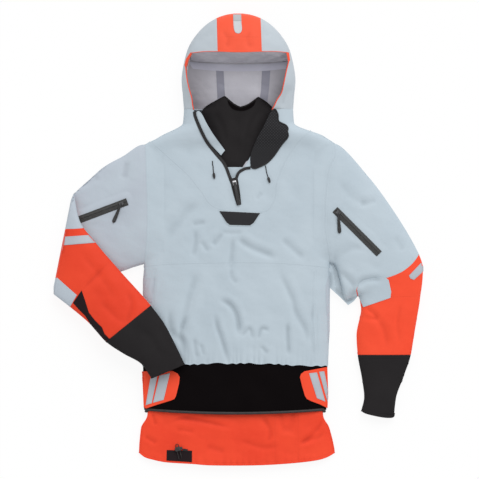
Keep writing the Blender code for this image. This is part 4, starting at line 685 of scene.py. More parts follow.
TORSO = Tube((0.247, -0.349, -0.264, -0.349, 0.0, 0.046),
             (0.25, -0.249, -0.267, -0.249, 0.0, 0.056),
             (0.2515, -0.066, -0.2595, -0.066, 0.0, 0.062),
             (0.2765, 0.097, -0.2755, 0.097, 0.0, 0.062),
             (0.2756, 0.243, -0.2681, 0.243, 0.0, 0.056),
             (0.2384, 0.281, -0.2175, 0.281, 0.0, 0.068),
             (0.1535, 0.319, -0.1525, 0.319, 0.0, 0.08), (0.1505, 0.355, -0.1495, 0.355, 0.0, 0.08))
BAND = Tube((0.2435, -0.4788, -0.2606, -0.4788, 0.0, 0.0418),
            (0.2448, -0.4685, -0.2618, -0.4685, 0.0, 0.0418),
            (0.2468, -0.4088, -0.2638, -0.4088, 0.0, 0.0439),
            (0.247, -0.349, -0.264, -0.349, 0.0, 0.046),
            (0.247, -0.335, -0.264, -0.335, 0.0, 0.046))
SKIRT = Tube((0.2664, -0.6215, -0.2745, -0.6215, -0.0051, 0.0291),
             (0.2706, -0.5889, -0.2786, -0.5889, -0.0051, 0.0291),
             (0.2561, -0.5212, -0.2731, -0.5212, -0.0051, 0.0341),
             (0.2381, -0.4785, -0.2551, -0.4785, 0.008, 0.0341),
             (0.2381, -0.363, -0.2551, -0.363, 0.008, 0.0341))
LEFT_UPPER = Tube((-0.206, 0.2547, -0.206, -0.0607, 0.006, 0.0497),
                  (-0.261, 0.26, -0.261, -0.069, 0.004, 0.05),
                  (-0.316, 0.229, -0.316, -0.0874, 0.0015, 0.042),
                  (-0.3707, 0.198, -0.3707, -0.1058, 0.0, 0.034),
                  (-0.4118, 0.1613, -0.4393, -0.128, 0.0, 0.0255),
                  (-0.453, 0.1249, -0.5079, -0.1502, 0.0, 0.018))
LEFT_LOWER = Tube(
    (-0.453, 0.1249, -0.5079, -0.1502, 0.022, 0.04),
    (-0.4361, 0.0507, -0.4911, -0.1638, 0.031, 0.053),
    (-0.3922, -0.0097, -0.4634, -0.1858, 0.0353, 0.0613),
    (-0.326, -0.0866, -0.4085, -0.2324, 0.0353, 0.0653),
    (-0.2404, -0.1821, -0.3636, -0.2819, 0.0482, 0.0782),
    (-0.2019, -0.2345, -0.3158, -0.3143, 0.0505, 0.0775),
    (-0.1747, -0.2865, -0.2673, -0.3421, 0.0505, 0.0775),
    (-0.1469, -0.3443, -0.2381, -0.383, 0.0489, 0.0759))
RIGHT_ARM = Tube(
    (0.207, 0.2547, 0.207, -0.0607, 0.006, 0.0497), (0.262, 0.263, 0.262, -0.069, 0.004, 0.05),
    (0.3626, 0.166, 0.2973, -0.1698, 0.0, 0.046), (0.5079, -0.0788, 0.3297, -0.1567, 0.0, 0.04),
    (0.4999, -0.1647, 0.3377, -0.1948, 0.0, 0.036), (0.486, -0.2469, 0.3252, -0.2638, 0.0, 0.033),
    (0.4745, -0.3186, 0.3285, -0.3186, 0.0, 0.03), (0.4564, -0.3745, 0.3395, -0.38, 0.0, 0.027),
    (0.4342, -0.4369, 0.3463, -0.4332, 0.0, 0.027), (0.4286, -0.4829, 0.338, -0.474, 0.0, 0.027))
HOOD = Tube(
    (0.1505, 0.355, -0.1495, 0.355, 0.0, 0.08), (0.1537, 0.3965, -0.1528, 0.3965, 0.0, 0.0925),
    (0.157, 0.438, -0.156, 0.438, 0.0, 0.103), (0.1423, 0.5157, -0.1414, 0.5157, 0.0013, 0.0995),
    (0.1111, 0.568, -0.1102, 0.568, 0.0041, 0.09), (0.0787, 0.5972, -0.0778, 0.5972, 0.007, 0.078),
    (0.0488, 0.6128, -0.0479, 0.6128, 0.0097, 0.064),
    (0.0276, 0.6185, -0.0267, 0.6185, 0.0116, 0.0517), (0.012, 0.6205, -0.011, 0.6205, 0.022, 0.04))
GAITER = Tube((0.089, 0.198, -0.0881, 0.198, 0.0018, 0.05),
              (0.1004, 0.2765, -0.0995, 0.2765, 0.0018, 0.05),
              (0.1035, 0.343, -0.1025, 0.343, 0.0018, 0.05),
              (0.077, 0.367, -0.076, 0.367, 0.0036, 0.05),
              (0.0505, 0.393, -0.0495, 0.393, 0.0054, 0.046))
print("tubes from", TORSO.last + 1, "sections for the body to", RIGHT_ARM.last + 1,
      "for the bent arm")

# %% [markdown]
# ## Height of the cloth
# A panel is drawn from above, as in the photograph, so each place on the table needs one height. A
# ray dropped on the tubes gives it. Where the body meets a sleeve the two heights run into each
# other, as one layer of cloth does over an armhole.

# %% Heights by dropped rays
SEARCH_LEVEL = 0.02


def quads(shape):
    """Faces of a grid of points that is so many rows by so many columns."""
    index = np.arange(shape[0] * shape[1]).reshape(shape)
    corners = index[:-1, :-1], index[:-1, 1:], index[1:, 1:], index[1:, :-1]
    return np.stack(corners, axis=-1).reshape(-1, 4)


def grid(tube, start, stop, first, last, rows, columns, grow=0.0):
    """Points and faces of part of a tube, rows along it and columns round it."""
    where, angle = np.meshgrid(
        np.linspace(start, stop, rows), np.linspace(first, last, columns), indexing="ij")
    return tube.at(where, angle, grow).reshape(-1, 3), quads((rows, columns))


class Drop:
    """Heights of a tube's upper side, or of its underside seen from below."""

    def __init__(self, tube, grow=0.0, under=False):
        turn = (math.pi, 2 * math.pi) if under else (0.0, math.pi)
        points, faces = grid(tube, 0.0, tube.last, *turn, 24 * tube.last, 80, grow)
        self.tree = BVHTree.FromPolygons(
            [Vector(p) for p in points], [tuple(map(int, f)) for f in faces])
        self.ray = Vector((0.0, 0.0, 1.0 if under else -1.0))

    def hits(self, flat):
        """Heights where the ray meets the tube, and NaN beside it."""
        found = np.full(len(flat), np.nan)
        for index, (x, y) in enumerate(flat):
            hit = self.tree.ray_cast(Vector((x, y, -self.ray.z)), self.ray)[0]
            if hit is not None:
                found[index] = hit.z
        return found

    def __call__(self, flat):
        """Heights, taken from the nearest place of the tube beside it."""
        found = self.hits(flat)
        for index in np.flatnonzero(np.isnan(found)):
            found[index] = self.tree.find_nearest(Vector((*flat[index], SEARCH_LEVEL)))[0].z
        return found


TORSO_TOP, LEFT_TOP, RIGHT_TOP = Drop(TORSO), Drop(LEFT_UPPER), Drop(RIGHT_ARM)
FOREARM_TOP, HOOD_TOP = Drop(LEFT_LOWER), Drop(HOOD)
BAND_TOP, SKIRT_TOP, GAITER_TOP = Drop(BAND, -0.0018), Drop(SKIRT, -0.0051), Drop(GAITER)


def run_together(first, second, reach=0.012):
    """The higher of two heights, with the step between them rounded off."""
    share = np.clip(0.5 + 0.5 * (first - second) / reach, 0.0, 1.0)
    joined = second * (1 - share) + first * share + reach * share * (1 - share) * 0.5
    return np.where(np.isnan(first), second, np.where(np.isnan(second), first, joined))


# %% [markdown]
# ## Folds
# Laid-out cloth keeps the folds of being worn and packed: long soft valleys with a low ridge on
# each side, fading at both ends. Each one is a line read from the photograph with a depth and a
# width. Between them the cloth is never quite flat, so a sum of slow waves is added. Cloth under
# the folded forearm is pressed flat.

# %% Folds read from the photograph: depth and width in millimetres, then the line in pixels
MILLIMETRE = 0.001
FOLD_SPREAD = 1.5
WAVES, WAVE_SUM = 14, 0.3


def line_reading(flat, line):
    """Distance of each place from a line, how far along it that is, its length, and the side."""
    line = np.array(line, float)
    best, along, gone = np.full(len(flat), 1e9), np.zeros(len(flat)), 0.0
    side = np.ones(len(flat))
    for a, b in zip(line, line[1:]):
        run = b - a
        size = float(np.linalg.norm(run)) or 1e-9
        t = np.clip(((flat - a) @ run) / size ** 2, 0.0, 1.0)
        far = np.linalg.norm(flat - a - t[:, None] * run, axis=1)
        closer = far < best
        best, along = np.where(closer, far, best), np.where(closer, gone + t * size, along)
        turn = run[0] * (flat[:, 1] - a[1]) - run[1] * (flat[:, 0] - a[0])
        side = np.where(closer, np.sign(turn), side)
        gone += size
    return best, along, gone, side


FRONT_FOLDS = [
    (3.2, 7, [(279.5, 270), (285, 282), (293, 300), (297, 314), (307, 333), (308, 351)]),
    (4.2, 6, [(219, 299), (229, 304), (235.6, 312.6), (238.4, 323.6), (239.7, 337)]),
    (3.4, 5, [(215, 314), (217.8, 327.7), (222, 340), (226, 353.8), (227, 363)]),
    (2.8, 9, [(198, 270), (190, 295), (184, 318), (180, 340)]),
    (1.4, 3, [(317.6, 306), (317.2, 330), (318.6, 358)]),
    (1.8, 5, [(231.5, 268.7), (232, 277), (238, 284)]),
    (3.0, 5, [(287.8, 320.8), (287.8, 337), (289, 356.5)]),
    (1.6, 4, [(313.8, 300), (312.4, 316.7), (312.4, 337), (315, 359)]),
    (2.6, 7, [(169.8, 308.5), (171, 329), (182, 343), (185, 356.5)]),
    (2.0, 5, [(187.6, 315), (180.8, 331.8), (185, 345.5)]),
    (1.8, 4.5, [(194.5, 337), (195.8, 351), (198.6, 359)]),
    (1.6, 4, [(200, 342.8), (204, 356.5)]),
    (2.2, 4.5, [(241, 337), (249.3, 329), (253.5, 340)]),
    (2.2, 4.5, [(257.6, 340), (261.7, 329), (270, 330.4)]),
    (1.5, 4, [(260.3, 345.5), (268.5, 353.8)]),
    (1.2, 3.5, [(154.7, 275.6), (152, 296)]),
    (1.8, 5, [(191.7, 224.7), (206, 221.9)]),
    (3.2, 12, [(164.5, 242), (174.5, 227.6), (187.4, 211.8), (200.3, 201.8)]),
    (2.2, 6, [(194.6, 229), (196, 242), (193, 257.7)]),
    (1.8, 5, [(200.3, 240.5), (209, 252)]),
    (2.2, 6, [(211.8, 246), (223.3, 233)]),
    (2.4, 6, [(233.3, 236), (232, 252), (230.5, 272)]),
    (3.4, 7, [(234.8, 236), (252, 247.7), (277.8, 257.7)]),
    (2.4, 7, [(280.7, 237.6), (292, 247.7), (305, 259)]),
    (1.4, 5, [(244.8, 233), (220, 232)]),
    (2.5, 9, [(127, 160), (124, 180)]),
    (1.2, 5, [(256, 200), (262, 192)]),
    (2.8, 6, [(332, 286), (345.6, 301.6), (356, 294), (361, 303.6)]),
    (3.6, 6, [(355, 288), (364.7, 280.6), (382, 278.7)]),
    (3.0, 7, [(338, 271), (353, 286), (347.5, 301.6)]),
    (1.8, 7, [(359, 204), (378, 200)]),
    (1.8, 5, [(362.8, 305.5), (376, 317), (361, 319)]),
    (2.2, 10, [(333, 262), (348, 250), (366, 246)]),
    (1.8, 9, [(338, 180), (352, 196), (372, 206)]),
    (1.6, 8, [(395, 235), (404, 252)]),
    (1.8, 7, [(372, 312), (384, 330), (388, 350)]),
    (1.6, 6, [(402, 300), (398, 325), (402, 348)]),
    (2.0, 6, [(81.5, 186), (100.6, 176.7)]),
]
FOREARM_FOLDS = [
    (1.8, 8, [(80, 250), (100, 275), (118, 300)]),
    (1.6, 7, [(100, 300), (118, 318), (130, 322)]),
    (2.0, 7, [(128, 290), (132, 306), (126, 325)]),
    (1.6, 6, [(108.6, 262.8), (96, 276), (82.3, 290)]),
    (1.5, 7, [(140, 325), (156, 346), (163, 360)]),
    (1.2, 6, [(158, 322), (166, 340), (176, 352)]),
]
SKIRT_FOLDS = [
    (2.6, 5, [(169.8, 422), (184.9, 418), (206.8, 422), (231.5, 427.7)]),
    (1.8, 5, [(175, 429), (195.8, 431.8)]),
    (1.8, 5, [(143.7, 436), (157.4, 444)]),
    (2.2, 5, [(152, 412.6), (156, 426)]),
    (2.2, 6, [(297, 443), (318, 437), (322, 428)]),
    (1.6, 6, [(240, 440), (262, 447), (280, 446)]),
    (3.0, 9, [(280, 404), (282, 418), (286, 436)]),
    (3.0, 9, [(293, 404), (292, 418), (290, 436)]),
    (2.2, 5, [(322, 412), (320, 426), (300, 446)]),
    (1.8, 6, [(262, 416), (270, 430), (268, 446)]),
    (1.4, 6, [(205, 446), (226, 452)]),
]


def folded(flat, folds):
    """Sum of the folds' heights: a soft valley with a ridge on each side, one of them higher."""
    height = np.zeros(len(flat))
    for depth, width, line in folds:
        far, along, whole, side = line_reading(flat, smooth(spots(*line), 8 * len(line)))
        q = far * side / (width * FOLD_SPREAD * MILLIMETRE)
        ends = np.clip(np.minimum(along, whole - along) / (0.3 * whole) + 0.15, 0.0, 1.0)
        ends = ends * ends * (3 - 2 * ends)
        valley = np.exp(-q * q) * 1.25
        ridges = 0.35 * np.exp(-((q - 1.7) / 1.1) ** 2) + 0.2 * np.exp(-((q + 1.7) / 1.1) ** 2)
        height += depth * MILLIMETRE * ends * (ridges - valley)
    return height


def ripples(flat, size, step=1.0):
    """Slow waves in many directions, which keep a flat panel from looking ironed."""
    dice = np.random.default_rng(7)
    height = np.zeros(len(flat))
    for _ in range(WAVES):
        turn = dice.uniform(0, math.pi)
        length = dice.uniform(0.028, 0.11) * step
        start = dice.uniform(0, math.tau)
        run = flat @ np.array([math.cos(turn), math.sin(turn)])
        height += np.sin(run * math.tau / length + start) * length
    return height * size / WAVE_SUM


HEM_HALF = 0.275


def gathers(flat, line_y, reach, size):
    """Small pleats over an elastic, dying away from it."""
    x, y = flat.T
    beat = np.sin(math.tau * (x / 0.0165 + 0.42 * np.sin(x * 41.0) + 0.3 * np.sin(x * 97.0 + 1.0)))
    fade = np.exp(-np.maximum(y - line_y, 0.0) / reach)
    uneven = 0.65 + 0.35 * np.sin(x * 23.0 + 0.8)
    return size * fade * (beat + 1.0) * uneven * (np.abs(x) < HEM_HALF)


# %% [markdown]
# ## Zips hold the cloth straight
# Behind a zip the cloth lies in the zip's own plane, and eases back to its own shape a few
# centimetres away. Small hard pieces also press the cloth flat under them.

# %% Seats for zips and the front as one field
ZIPS = {
    "left_pocket": ((-0.30505, 0.103, 0.04593), (-0.9253, -0.3478, -0.15119),
                    (-0.14152, -0.05319, 0.98851), 0.172, 0.02),
    "right_pocket": ((0.26545, 0.081, 0.05043), (0.70655, -0.70655, -0.03962),
                     (0.02802, -0.02802, 0.99921), 0.172, 0.02),
    "main": ((-0.01305, 0.168, 0.0597), (0.19725, -0.9797, 0.0358),
             (-0.00707, 0.03509, 0.99936), 0.076, 0.022)}
ZIP_SINK, ZIP_FLAT, ZIP_EASE = 0.0004, 0.002, 0.02
HOOD_SEAM_Y, HEM_Y = 0.355, -0.349
ARMS_FROM = 0.17
PRESS = 0.014
BODY_SPAN = (-0.3485, 0.3545)
PRESSED = spots((213, 168), (214, 176), (266, 168), (268, 175), (235, 190), (236, 205), (115, 213),
                (338, 222))


def soft_step(value):
    """From 0 to 1 without a corner at either end."""
    value = np.clip(value, 0.0, 1.0)
    return value * value * (3 - 2 * value)


def seated(flat, height):
    """The heights, drawn to the plane of each zip near it."""
    for start, run, up, length, tape in ZIPS.values():
        ahead = np.array(run[:2]) / np.linalg.norm(run[:2])
        offset = flat - np.array(start[:2])
        along = offset @ ahead
        across = offset @ np.array([-ahead[1], ahead[0]])
        plane = start[2] - ((offset @ np.array(up[:2])) / up[2]) - ZIP_SINK
        past = np.hypot(np.maximum(np.abs(along - length / 2) - length / 2, 0.0),
                        np.maximum(np.abs(across) - tape / 2, 0.0))
        share = soft_step(1.0 - (past - ZIP_FLAT) / ZIP_EASE)
        height = height * (1 - share) + plane * share
    return height


def on_body(flat):
    """The places, moved onto the body where they lie just past its hem or its hood seam."""
    return np.column_stack([flat[:, 0], np.clip(flat[:, 1], BODY_SPAN[0], BODY_SPAN[1])])


def front(flat):
    """Height of the laid-out front: body and sleeves in one, with folds and zips."""
    flat = np.asarray(flat, float)
    near_left, near_right = flat[:, 0] < -ARMS_FROM, flat[:, 0] > ARMS_FROM
    body = TORSO_TOP.hits(on_body(flat))
    arms = np.full(len(flat), np.nan)
    arms[near_left] = LEFT_TOP.hits(flat[near_left])
    arms[near_right] = RIGHT_TOP.hits(flat[near_right])
    height = run_together(body, arms)
    for index in np.flatnonzero(np.isnan(height)):
        spot = Vector((*flat[index], SEARCH_LEVEL))
        tries = [tree.tree.find_nearest(spot) for tree in (TORSO_TOP, LEFT_TOP, RIGHT_TOP)]
        height[index] = min(tries, key=lambda hit: hit[3])[0].z
    fold = folded(flat, FRONT_FOLDS) + ripples(flat, 0.0007) + gathers(flat, HEM_Y, 0.02, 0.0024)
    calm = np.ones(len(flat))
    for spot in PRESSED:
        calm *= 1.0 - 0.9 * np.exp(-np.sum((flat - np.array(spot)) ** 2, axis=1) / PRESS ** 2)
    covered = ~np.isnan(FOREARM_TOP.hits(flat))
    fold = np.where(covered, np.minimum(fold * 0.4, 0.0), fold) * calm
    fold *= soft_step((HOOD_SEAM_Y - flat[:, 1]) / 0.02)
    return seated(flat, height + fold)


print(len(FRONT_FOLDS) + len(FOREARM_FOLDS) + len(SKIRT_FOLDS), "folds")

# %% [markdown]
# ## Cutting panels
# A sewn panel is a flat shape first. Its outline is drawn on the table, filled with small triangles
# by a constrained Delaunay cut, and every corner is lifted to the height of the cloth there. Seams
# then lie exactly where the photograph has them, which a grid wrapped round a tube would not give.
# A Solidify modifier makes the sheet as thick as coated nylon.

# %% Outlines and panels
STEP, TRIM_STEP = 0.0034, 0.003
CLOTH = 0.0006


def line(*pixels, step=STEP):
    """A smooth line through places of the photograph, in metres on the table."""
    places = spots(*pixels)
    return smooth(places, max(3, int(length_of(places) / step) + 1))


def straight(*pixels, step=STEP):
    """A line with corners through places of the photograph."""
    places = spots(*pixels)
    return chain(*(np.linspace(a, b, max(2, int(math.dist(a, b) / step) + 1))
                   for a, b in zip(places, places[1:])))


def chain(*lines):
    """Lines one after another as a single list, without points that fall together."""
    kept = []
    for place in np.vstack([np.asarray(one, float) for one in lines]):
        if not kept or np.linalg.norm(place - kept[-1]) > 0.3 * STEP:
            kept.append(place)
    return np.array(kept)


def inside(flat, loop):
    """Which places lie within an outline: an odd number of its sides is crossed on the way out."""
    odd = np.zeros(len(flat), bool)
    for (ax, ay), (bx, by) in zip(loop, np.roll(loop, -1, axis=0)):
        if ay != by:
            crosses = (ay > flat[:, 1]) != (by > flat[:, 1])
            odd ^= crosses & (flat[:, 0] < ax + (flat[:, 1] - ay) * (bx - ax) / (by - ay))
    return odd


def cut(outline, step=STEP):
    """Places and triangles that fill an outline."""
    loop = np.asarray(outline, float)
    if np.linalg.norm(loop[0] - loop[-1]) < 0.3 * step:
        loop = loop[:-1]
    low, high = loop.min(axis=0), loop.max(axis=0)
    seeds = []
    for row, y in enumerate(np.arange(low[1], high[1], step * 0.87)):
        start = low[0] + (row % 2) * step / 2
        seeds += [(x, y) for x in np.arange(start, high[0], step)]
    seeds = np.array(seeds)
    seeds = seeds[inside(seeds, loop)]
    if len(seeds):
        far = line_reading(seeds, np.vstack([loop, loop[:1]]))[0]
        seeds = seeds[far > 0.5 * step]
    places = np.vstack([loop, seeds]) if len(seeds) else loop
    rim = [(i, (i + 1) % len(loop)) for i in range(len(loop))]
    flat, _, faces = delaunay_2d_cdt([Vector(p) for p in places], rim, [], 1, 1e-7)[:3]
    flat = np.array([tuple(p) for p in flat])
    return flat, facing(np.column_stack([flat, np.zeros(len(flat))]), faces, (0.0, 0.0, 1.0))


def facing(points, faces, towards):
    """The faces, turned over if most look away from one direction or from one for each face."""
    corners = np.array([points[list(face)[:3]] for face in faces])
    normals = np.cross(corners[:, 1] - corners[:, 0], corners[:, 2] - corners[:, 0])
    towards = np.array(towards)
    agree = (normals @ towards).sum() if towards.ndim == 1 else (normals * towards).sum()
    return [tuple(face)[::-1] if agree < 0 else tuple(face) for face in faces]


def under(tube, start, stop, rows, columns, grow=-0.0008, lap=0.12):
    """The underside of a tube, lapped a little up its sides."""
    points, faces = grid(tube, start, stop, math.pi - lap, math.tau + lap, rows, columns, grow)
    return points, facing(points, faces, (0.0, 0.0, -1.0))


def underside(outline, bottom):
    """Points and faces that close an outline from below."""
    flat, faces = cut(outline)
    points = np.column_stack([flat, bottom(flat)])
    return points, facing(points, faces, (0.0, 0.0, -1.0))


def rim_between(path, top, bottom, middle):
    """A strip from the upper skin to the underside along an outline, facing away from a middle."""
    path, count = np.asarray(path, float), len(path)
    points = np.concatenate([lifted(path, top), lifted(path, bottom)])
    faces = [(k, k + 1, count + k + 1, count + k) for k in range(count - 1)]
    outward = np.array([np.append(points[k, :2] - np.array(middle), 0.0) for k in range(count - 1)])
    return points, facing(points, faces, outward)


def ring(tube, start, stop, rows, columns, grow):
    """A whole sleeve of a tube, facing out."""
    points, faces = grid(tube, start, stop, 0.0, math.tau, rows, columns, grow)
    middle = points.reshape(rows, columns, 3).mean(axis=1, keepdims=True)
    centres = np.array([points[list(face)].mean(axis=0) for face in faces])
    home = np.repeat(middle[:-1, 0], columns - 1, axis=0)
    return points, facing(points, faces, centres - home)


def hollows(points, faces, rounds=24):
    """How far each place lies below the cloth round it, in metres; the rim counts as level."""
    count = len(points)
    pairs = np.sort([(a, b) for face in faces for a, b in zip(face, face[1:] + face[:1])], axis=1)
    edges, used = np.unique(pairs, axis=0, return_counts=True)
    first, second = edges.T
    ties = np.maximum(np.bincount(first, minlength=count) + np.bincount(second, minlength=count), 1)
    rim = np.zeros(count, bool)
    rim[edges[used == 1].ravel()] = True
    level = np.array(points)[:, 2]
    even = level.copy()
    for _ in range(rounds):
        around = np.bincount(first, even[second], count) + np.bincount(second, even[first], count)
        even = np.where(rim, level, (even + around / ties) / 2)
    return even - level


def make(name, parts, finish, body=None, stands_for=(), seams=(), thick=CLOTH, bend=None):
    """One piece from parts, each of points and faces, with its marks for seams."""
    points, faces = [], []
    for some, more in parts:
        faces += [tuple(int(i) + len(points) for i in face) for face in more]
        points += [tuple(p) for p in some]
    mesh = bpy.data.meshes.new(name)
    mesh.from_pydata(points, [], faces)
    mesh.validate()
    mesh.shade_smooth()
    mesh.materials.append(finish.material)
    flat = np.array(points)[:, :2]
    near, along = np.full(len(points), 1.0), np.zeros(len(points))
    for seam in seams:
        far, run = line_reading(flat, seam)[:2]
        along = np.where(far < near, run, along)
        near = np.minimum(near, far)
    # The hollow of each vertex drives the painted crease shade of the shell cloth.
    for key, values in (("seam", near), ("run", along), ("hollow", hollows(points, faces))):
        mesh.attributes.new(key, "FLOAT", "POINT").data.foreach_set(
            "value", values.astype(np.float32))
    piece = bpy.data.objects.new(name, mesh)
    SCENE.collection.objects.link(piece)
    if thick:
        solid = piece.modifiers.new("thickness", "SOLIDIFY")
        solid.thickness = thick
        solid.offset = -1.0
        crisp = piece.modifiers.new("crisp_rim", "EDGE_SPLIT")
        crisp.split_angle = math.radians(50.0)
    if stands_for:
        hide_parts(*stands_for)
    if bend:
        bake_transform(piece)
    else:
        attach(piece, body)
    return piece


def panel(name, outline, height, finish, body=None, stands_for=(), seams=(), more=(), step=STEP,
          **rest):
    """A piece cut to an outline and raised to a height."""
    flat, faces = cut(outline, step)
    points = np.column_stack([flat, height(flat)])
    return make(name, [(points, faces), *more], finish, body, stands_for, seams, **rest)


def sewn_on(name, shape, height, lift, finish, body=None, stands_for=(), step=TRIM_STEP, **rest):
    """A trim with straight sides, in pixels, laid on the cloth and stitched round its edge."""
    loop = straight(*shape, shape[0], step=step)
    return panel(name, loop, above(height, lift), finish, body, stands_for, [loop], step=step,
                 **rest)


def barrel(rows, sides, base=0):
    """Faces of rows of points round an axis, with a cap at each end."""
    faces = []
    for row in range(rows - 1):
        for k in range(sides):
            a, b = base + row * sides + k, base + row * sides + (k + 1) % sides
            faces.append((a, b, b + sides, a + sides))
    last = base + (rows - 1) * sides
    return faces + [tuple(range(base, base + sides))[::-1], tuple(range(last, last + sides))]


def bead(path, radius, sides=8):
    """A round cord of cloth or rubber swept along a path, closed at its ends."""
    path = np.asarray(path, float)
    ahead = np.gradient(path, axis=0)
    ahead /= np.linalg.norm(ahead, axis=1)[:, None]
    up = np.array([0.0, 0.0, 1.0])
    points = []
    for place, forward in zip(path, ahead):
        side = np.cross(forward, up)
        side /= np.linalg.norm(side)
        top = np.cross(side, forward)
        turn = np.linspace(0.0, math.tau, sides, endpoint=False)
        points += [tuple(place + radius * (math.cos(a) * side + math.sin(a) * top)) for a in turn]
    return points, barrel(len(path), sides)


def lifted(flat, height, by=0.0):
    """A line on the table raised onto the cloth."""
    flat = np.asarray(flat, float)
    return np.column_stack([flat, height(flat) + by])


def above(height, by):
    """The same heights, by so much more."""
    return lambda flat: height(flat) + by


# %% [markdown]
# ## Front and back of the body
# The front has three panels: a yoke that carries the neck and the zip, a chest panel between the
# sleeves, and a lower panel that ends in the gathered hem. The back is one piece, pressed flat by
# lying on the table.

# %% Seam lines
YOKE_SEAM = line((149.8, 141.4), (172, 161.4), (188, 176), (200, 191), (217, 209), (262, 212.5),
                 (274, 201), (276, 186), (283, 166), (296, 145.4), (311, 130))
LEFT_ARMHOLE = line((145.2, 144.4), (146.5, 184), (147.3, 220), (145.8, 249), (144, 263.5))
RIGHT_ARMHOLE = line((334.5, 144.5), (335, 156), (329.4, 168), (326, 190), (324.8, 219.5),
                     (325.3, 233), (329.8, 263), (329.2, 276), (328.9, 287))
CHEST_SEAM = line((143.6, 267), (170, 264.8), (235, 263.2), (285, 264.2), (330.4, 268.2))
ELBOW_SEAM = line((357.5, 296.5), (356.5, 289), (362, 283), (372, 280.6), (380.5, 279.3),
                  (391.4, 276.3), (402.3, 271.5), (410.8, 265.0), (415.8, 259.4), (419.2, 254.4))
FACE_LEFT = line((190.5, 53.4), (185.4, 63.6), (186, 69), (187.2, 79.6), (189.4, 89.5),
                 (191.9, 98.4), (192.6, 104.6), (193.8, 110))
FACE_LEFT_LOW = line((193.8, 110), (195.5, 119), (199.5, 130), (207, 142), (217, 155.5),
                     (225, 165.5), (231, 177.5))
FACE_RIGHT = line((288.3, 52.9), (288.8, 60), (286.2, 71.6), (283.6, 84), (281.4, 93), (277, 100),
                  (274.4, 105.6), (272, 110))
FACE_RIGHT_LOW = line((272, 110), (268.7, 116.4), (263, 128), (256.8, 139.5), (250, 157),
                      (243.5, 168), (234, 177.5))
BRIM = line((190.5, 53.4), (205, 52), (218, 52), (239, 52.6), (262, 52), (275, 51.9), (288.3, 52.9))
print("yoke seam", round(length_of(YOKE_SEAM), 3), "m long")


def edge_from(tube, side, first, last, count=40):
    """Part of a tube's silhouette between the places nearest to two pixels."""
    start, stop = (tube.nearest(side, spots(pixel)[0]) for pixel in (first, last))
    return tube.edge(side, start, stop, count)


# %% Yoke, chest, lower front and back
RIGHT_BEND = ("torso", "right_sleeve", (0.2535, 0.0, 0.0), (0.276, 0.0, 0.0))
LEFT_BEND = ("torso", "left_sleeve", (-0.2595, 0.0, 0.0), (-0.285, 0.0, 0.0))

yoke_loop = chain(edge_from(TORSO, 1, (184, 110), (149.6, 143)), YOKE_SEAM,
                  edge_from(TORSO, 0, (311, 130), (293.1, 110)), spots((293, 107), (275, 107)),
                  FACE_RIGHT_LOW, FACE_LEFT_LOW[::-1], spots((192.6, 107), (185.4, 107)))
YOKE = panel("yoke", yoke_loop, front, GREY, "torso", ["front_yoke"],
             [YOKE_SEAM, FACE_LEFT_LOW, FACE_RIGHT_LOW])

right_armhole_on_chest = RIGHT_ARMHOLE[RIGHT_ARMHOLE[:, 1] > CHEST_SEAM[-1][1]]
chest_loop = chain(YOKE_SEAM[::-1], LEFT_ARMHOLE, CHEST_SEAM, right_armhole_on_chest[::-1],
                   edge_from(TORSO, 0, (334.5, 144.5), (311, 130), 20))
CHEST = panel("chest", chest_loop, front, GREY, "torso", ["chest_panel"],
              [YOKE_SEAM, LEFT_ARMHOLE, RIGHT_ARMHOLE, CHEST_SEAM])


def hem_line(x):
    """The gathered hem: higher in the middle, and scalloped by its pleats."""
    rise = 0.008 * (1.0 - soft_step((np.abs(x + 0.008) - 0.05) / 0.17))
    pleats = 0.0014 * np.sin(x * 190.0 + 2.0 * np.sin(x * 53.0))
    return np.column_stack([x, HEM_Y + rise * (0.9 + 0.1 * np.sin(x * 75.0)) + pleats])


low_loop = chain(CHEST_SEAM, edge_from(TORSO, 0, (330.4, 267.8), (328.2, 366)),
                 hem_line(np.linspace(0.247, -0.264, 170)),
                 edge_from(TORSO, 1, (142.3, 366), (143.6, 267.8)))
LOWER_FRONT = panel("lower_front", low_loop, front, GREY, "torso", ["lower_front_panel"],
                    [CHEST_SEAM, straight((313.8, 272), (312.4, 316), (315, 362)),
                     straight((154.7, 272), (153, 320))])

points, faces = under(TORSO, 0.0, TORSO.last, 150, 110)
points[:, 2] += np.abs(ripples(points[:, :2], 0.0012)) * soft_step(points[:, 2] * -60 + 1.2)
BACK = make("back", [(points, faces)], GREY, "torso", ["back_panel"],
            [np.array([(-0.25, 0.1), (0.25, 0.1)])])
SIDE_STRIPS = {
    "left_side_strip": [(144.4, 266), (146, 277.8), (154.5, 278), (154.3, 290), (152.4, 303),
                        (149.6, 302.4), (142.7, 294), (142.9, 279.4)],
    "right_side_strip": [(329.0, 275), (330.2, 281), (329.9, 300), (329.8, 330), (328.8, 345),
                         (327.6, 325), (325.6, 300), (325.8, 285)]}
for name, shape in SIDE_STRIPS.items():
    sewn_on(name, shape, front, 0.0005, LILAC_GREY, "torso")

# %% [markdown]
# ## Hem, waistband and tabs
# An elastic is sewn into the hem and draws it in. Below it sits the outer waistband of neoprene,
# with a rubber grip edge, and on each side a tab of shell cloth with two reflective stripes. A tab
# peels open on a line near its middle.

# %% Hem elastic, waistband, grip edge
elastic_ring = ring(BAND, BAND.where_y(-0.335), BAND.where_y(-0.327), 4, 160, -0.004)
make("hem_band", [elastic_ring], CUFF_KNIT, "torso", ["hem_elastic"], thick=0.0014)

BAND_TOP_Y, BAND_END_Y = -0.337, -0.47


def band_height(flat):
    """Height of the waistband, which is a little wavy."""
    return BAND_TOP(flat) + 0.0009 * np.sin(flat[:, 0] * 61.0 + 2.0 * np.sin(flat[:, 1] * 30.0))


def bow(x):
    """How far the band's lower edge lies from a straight line: it sags in the middle."""
    return 0.0055 - 0.0105 * (1.0 - ((x + 0.0085) / 0.25) ** 2)


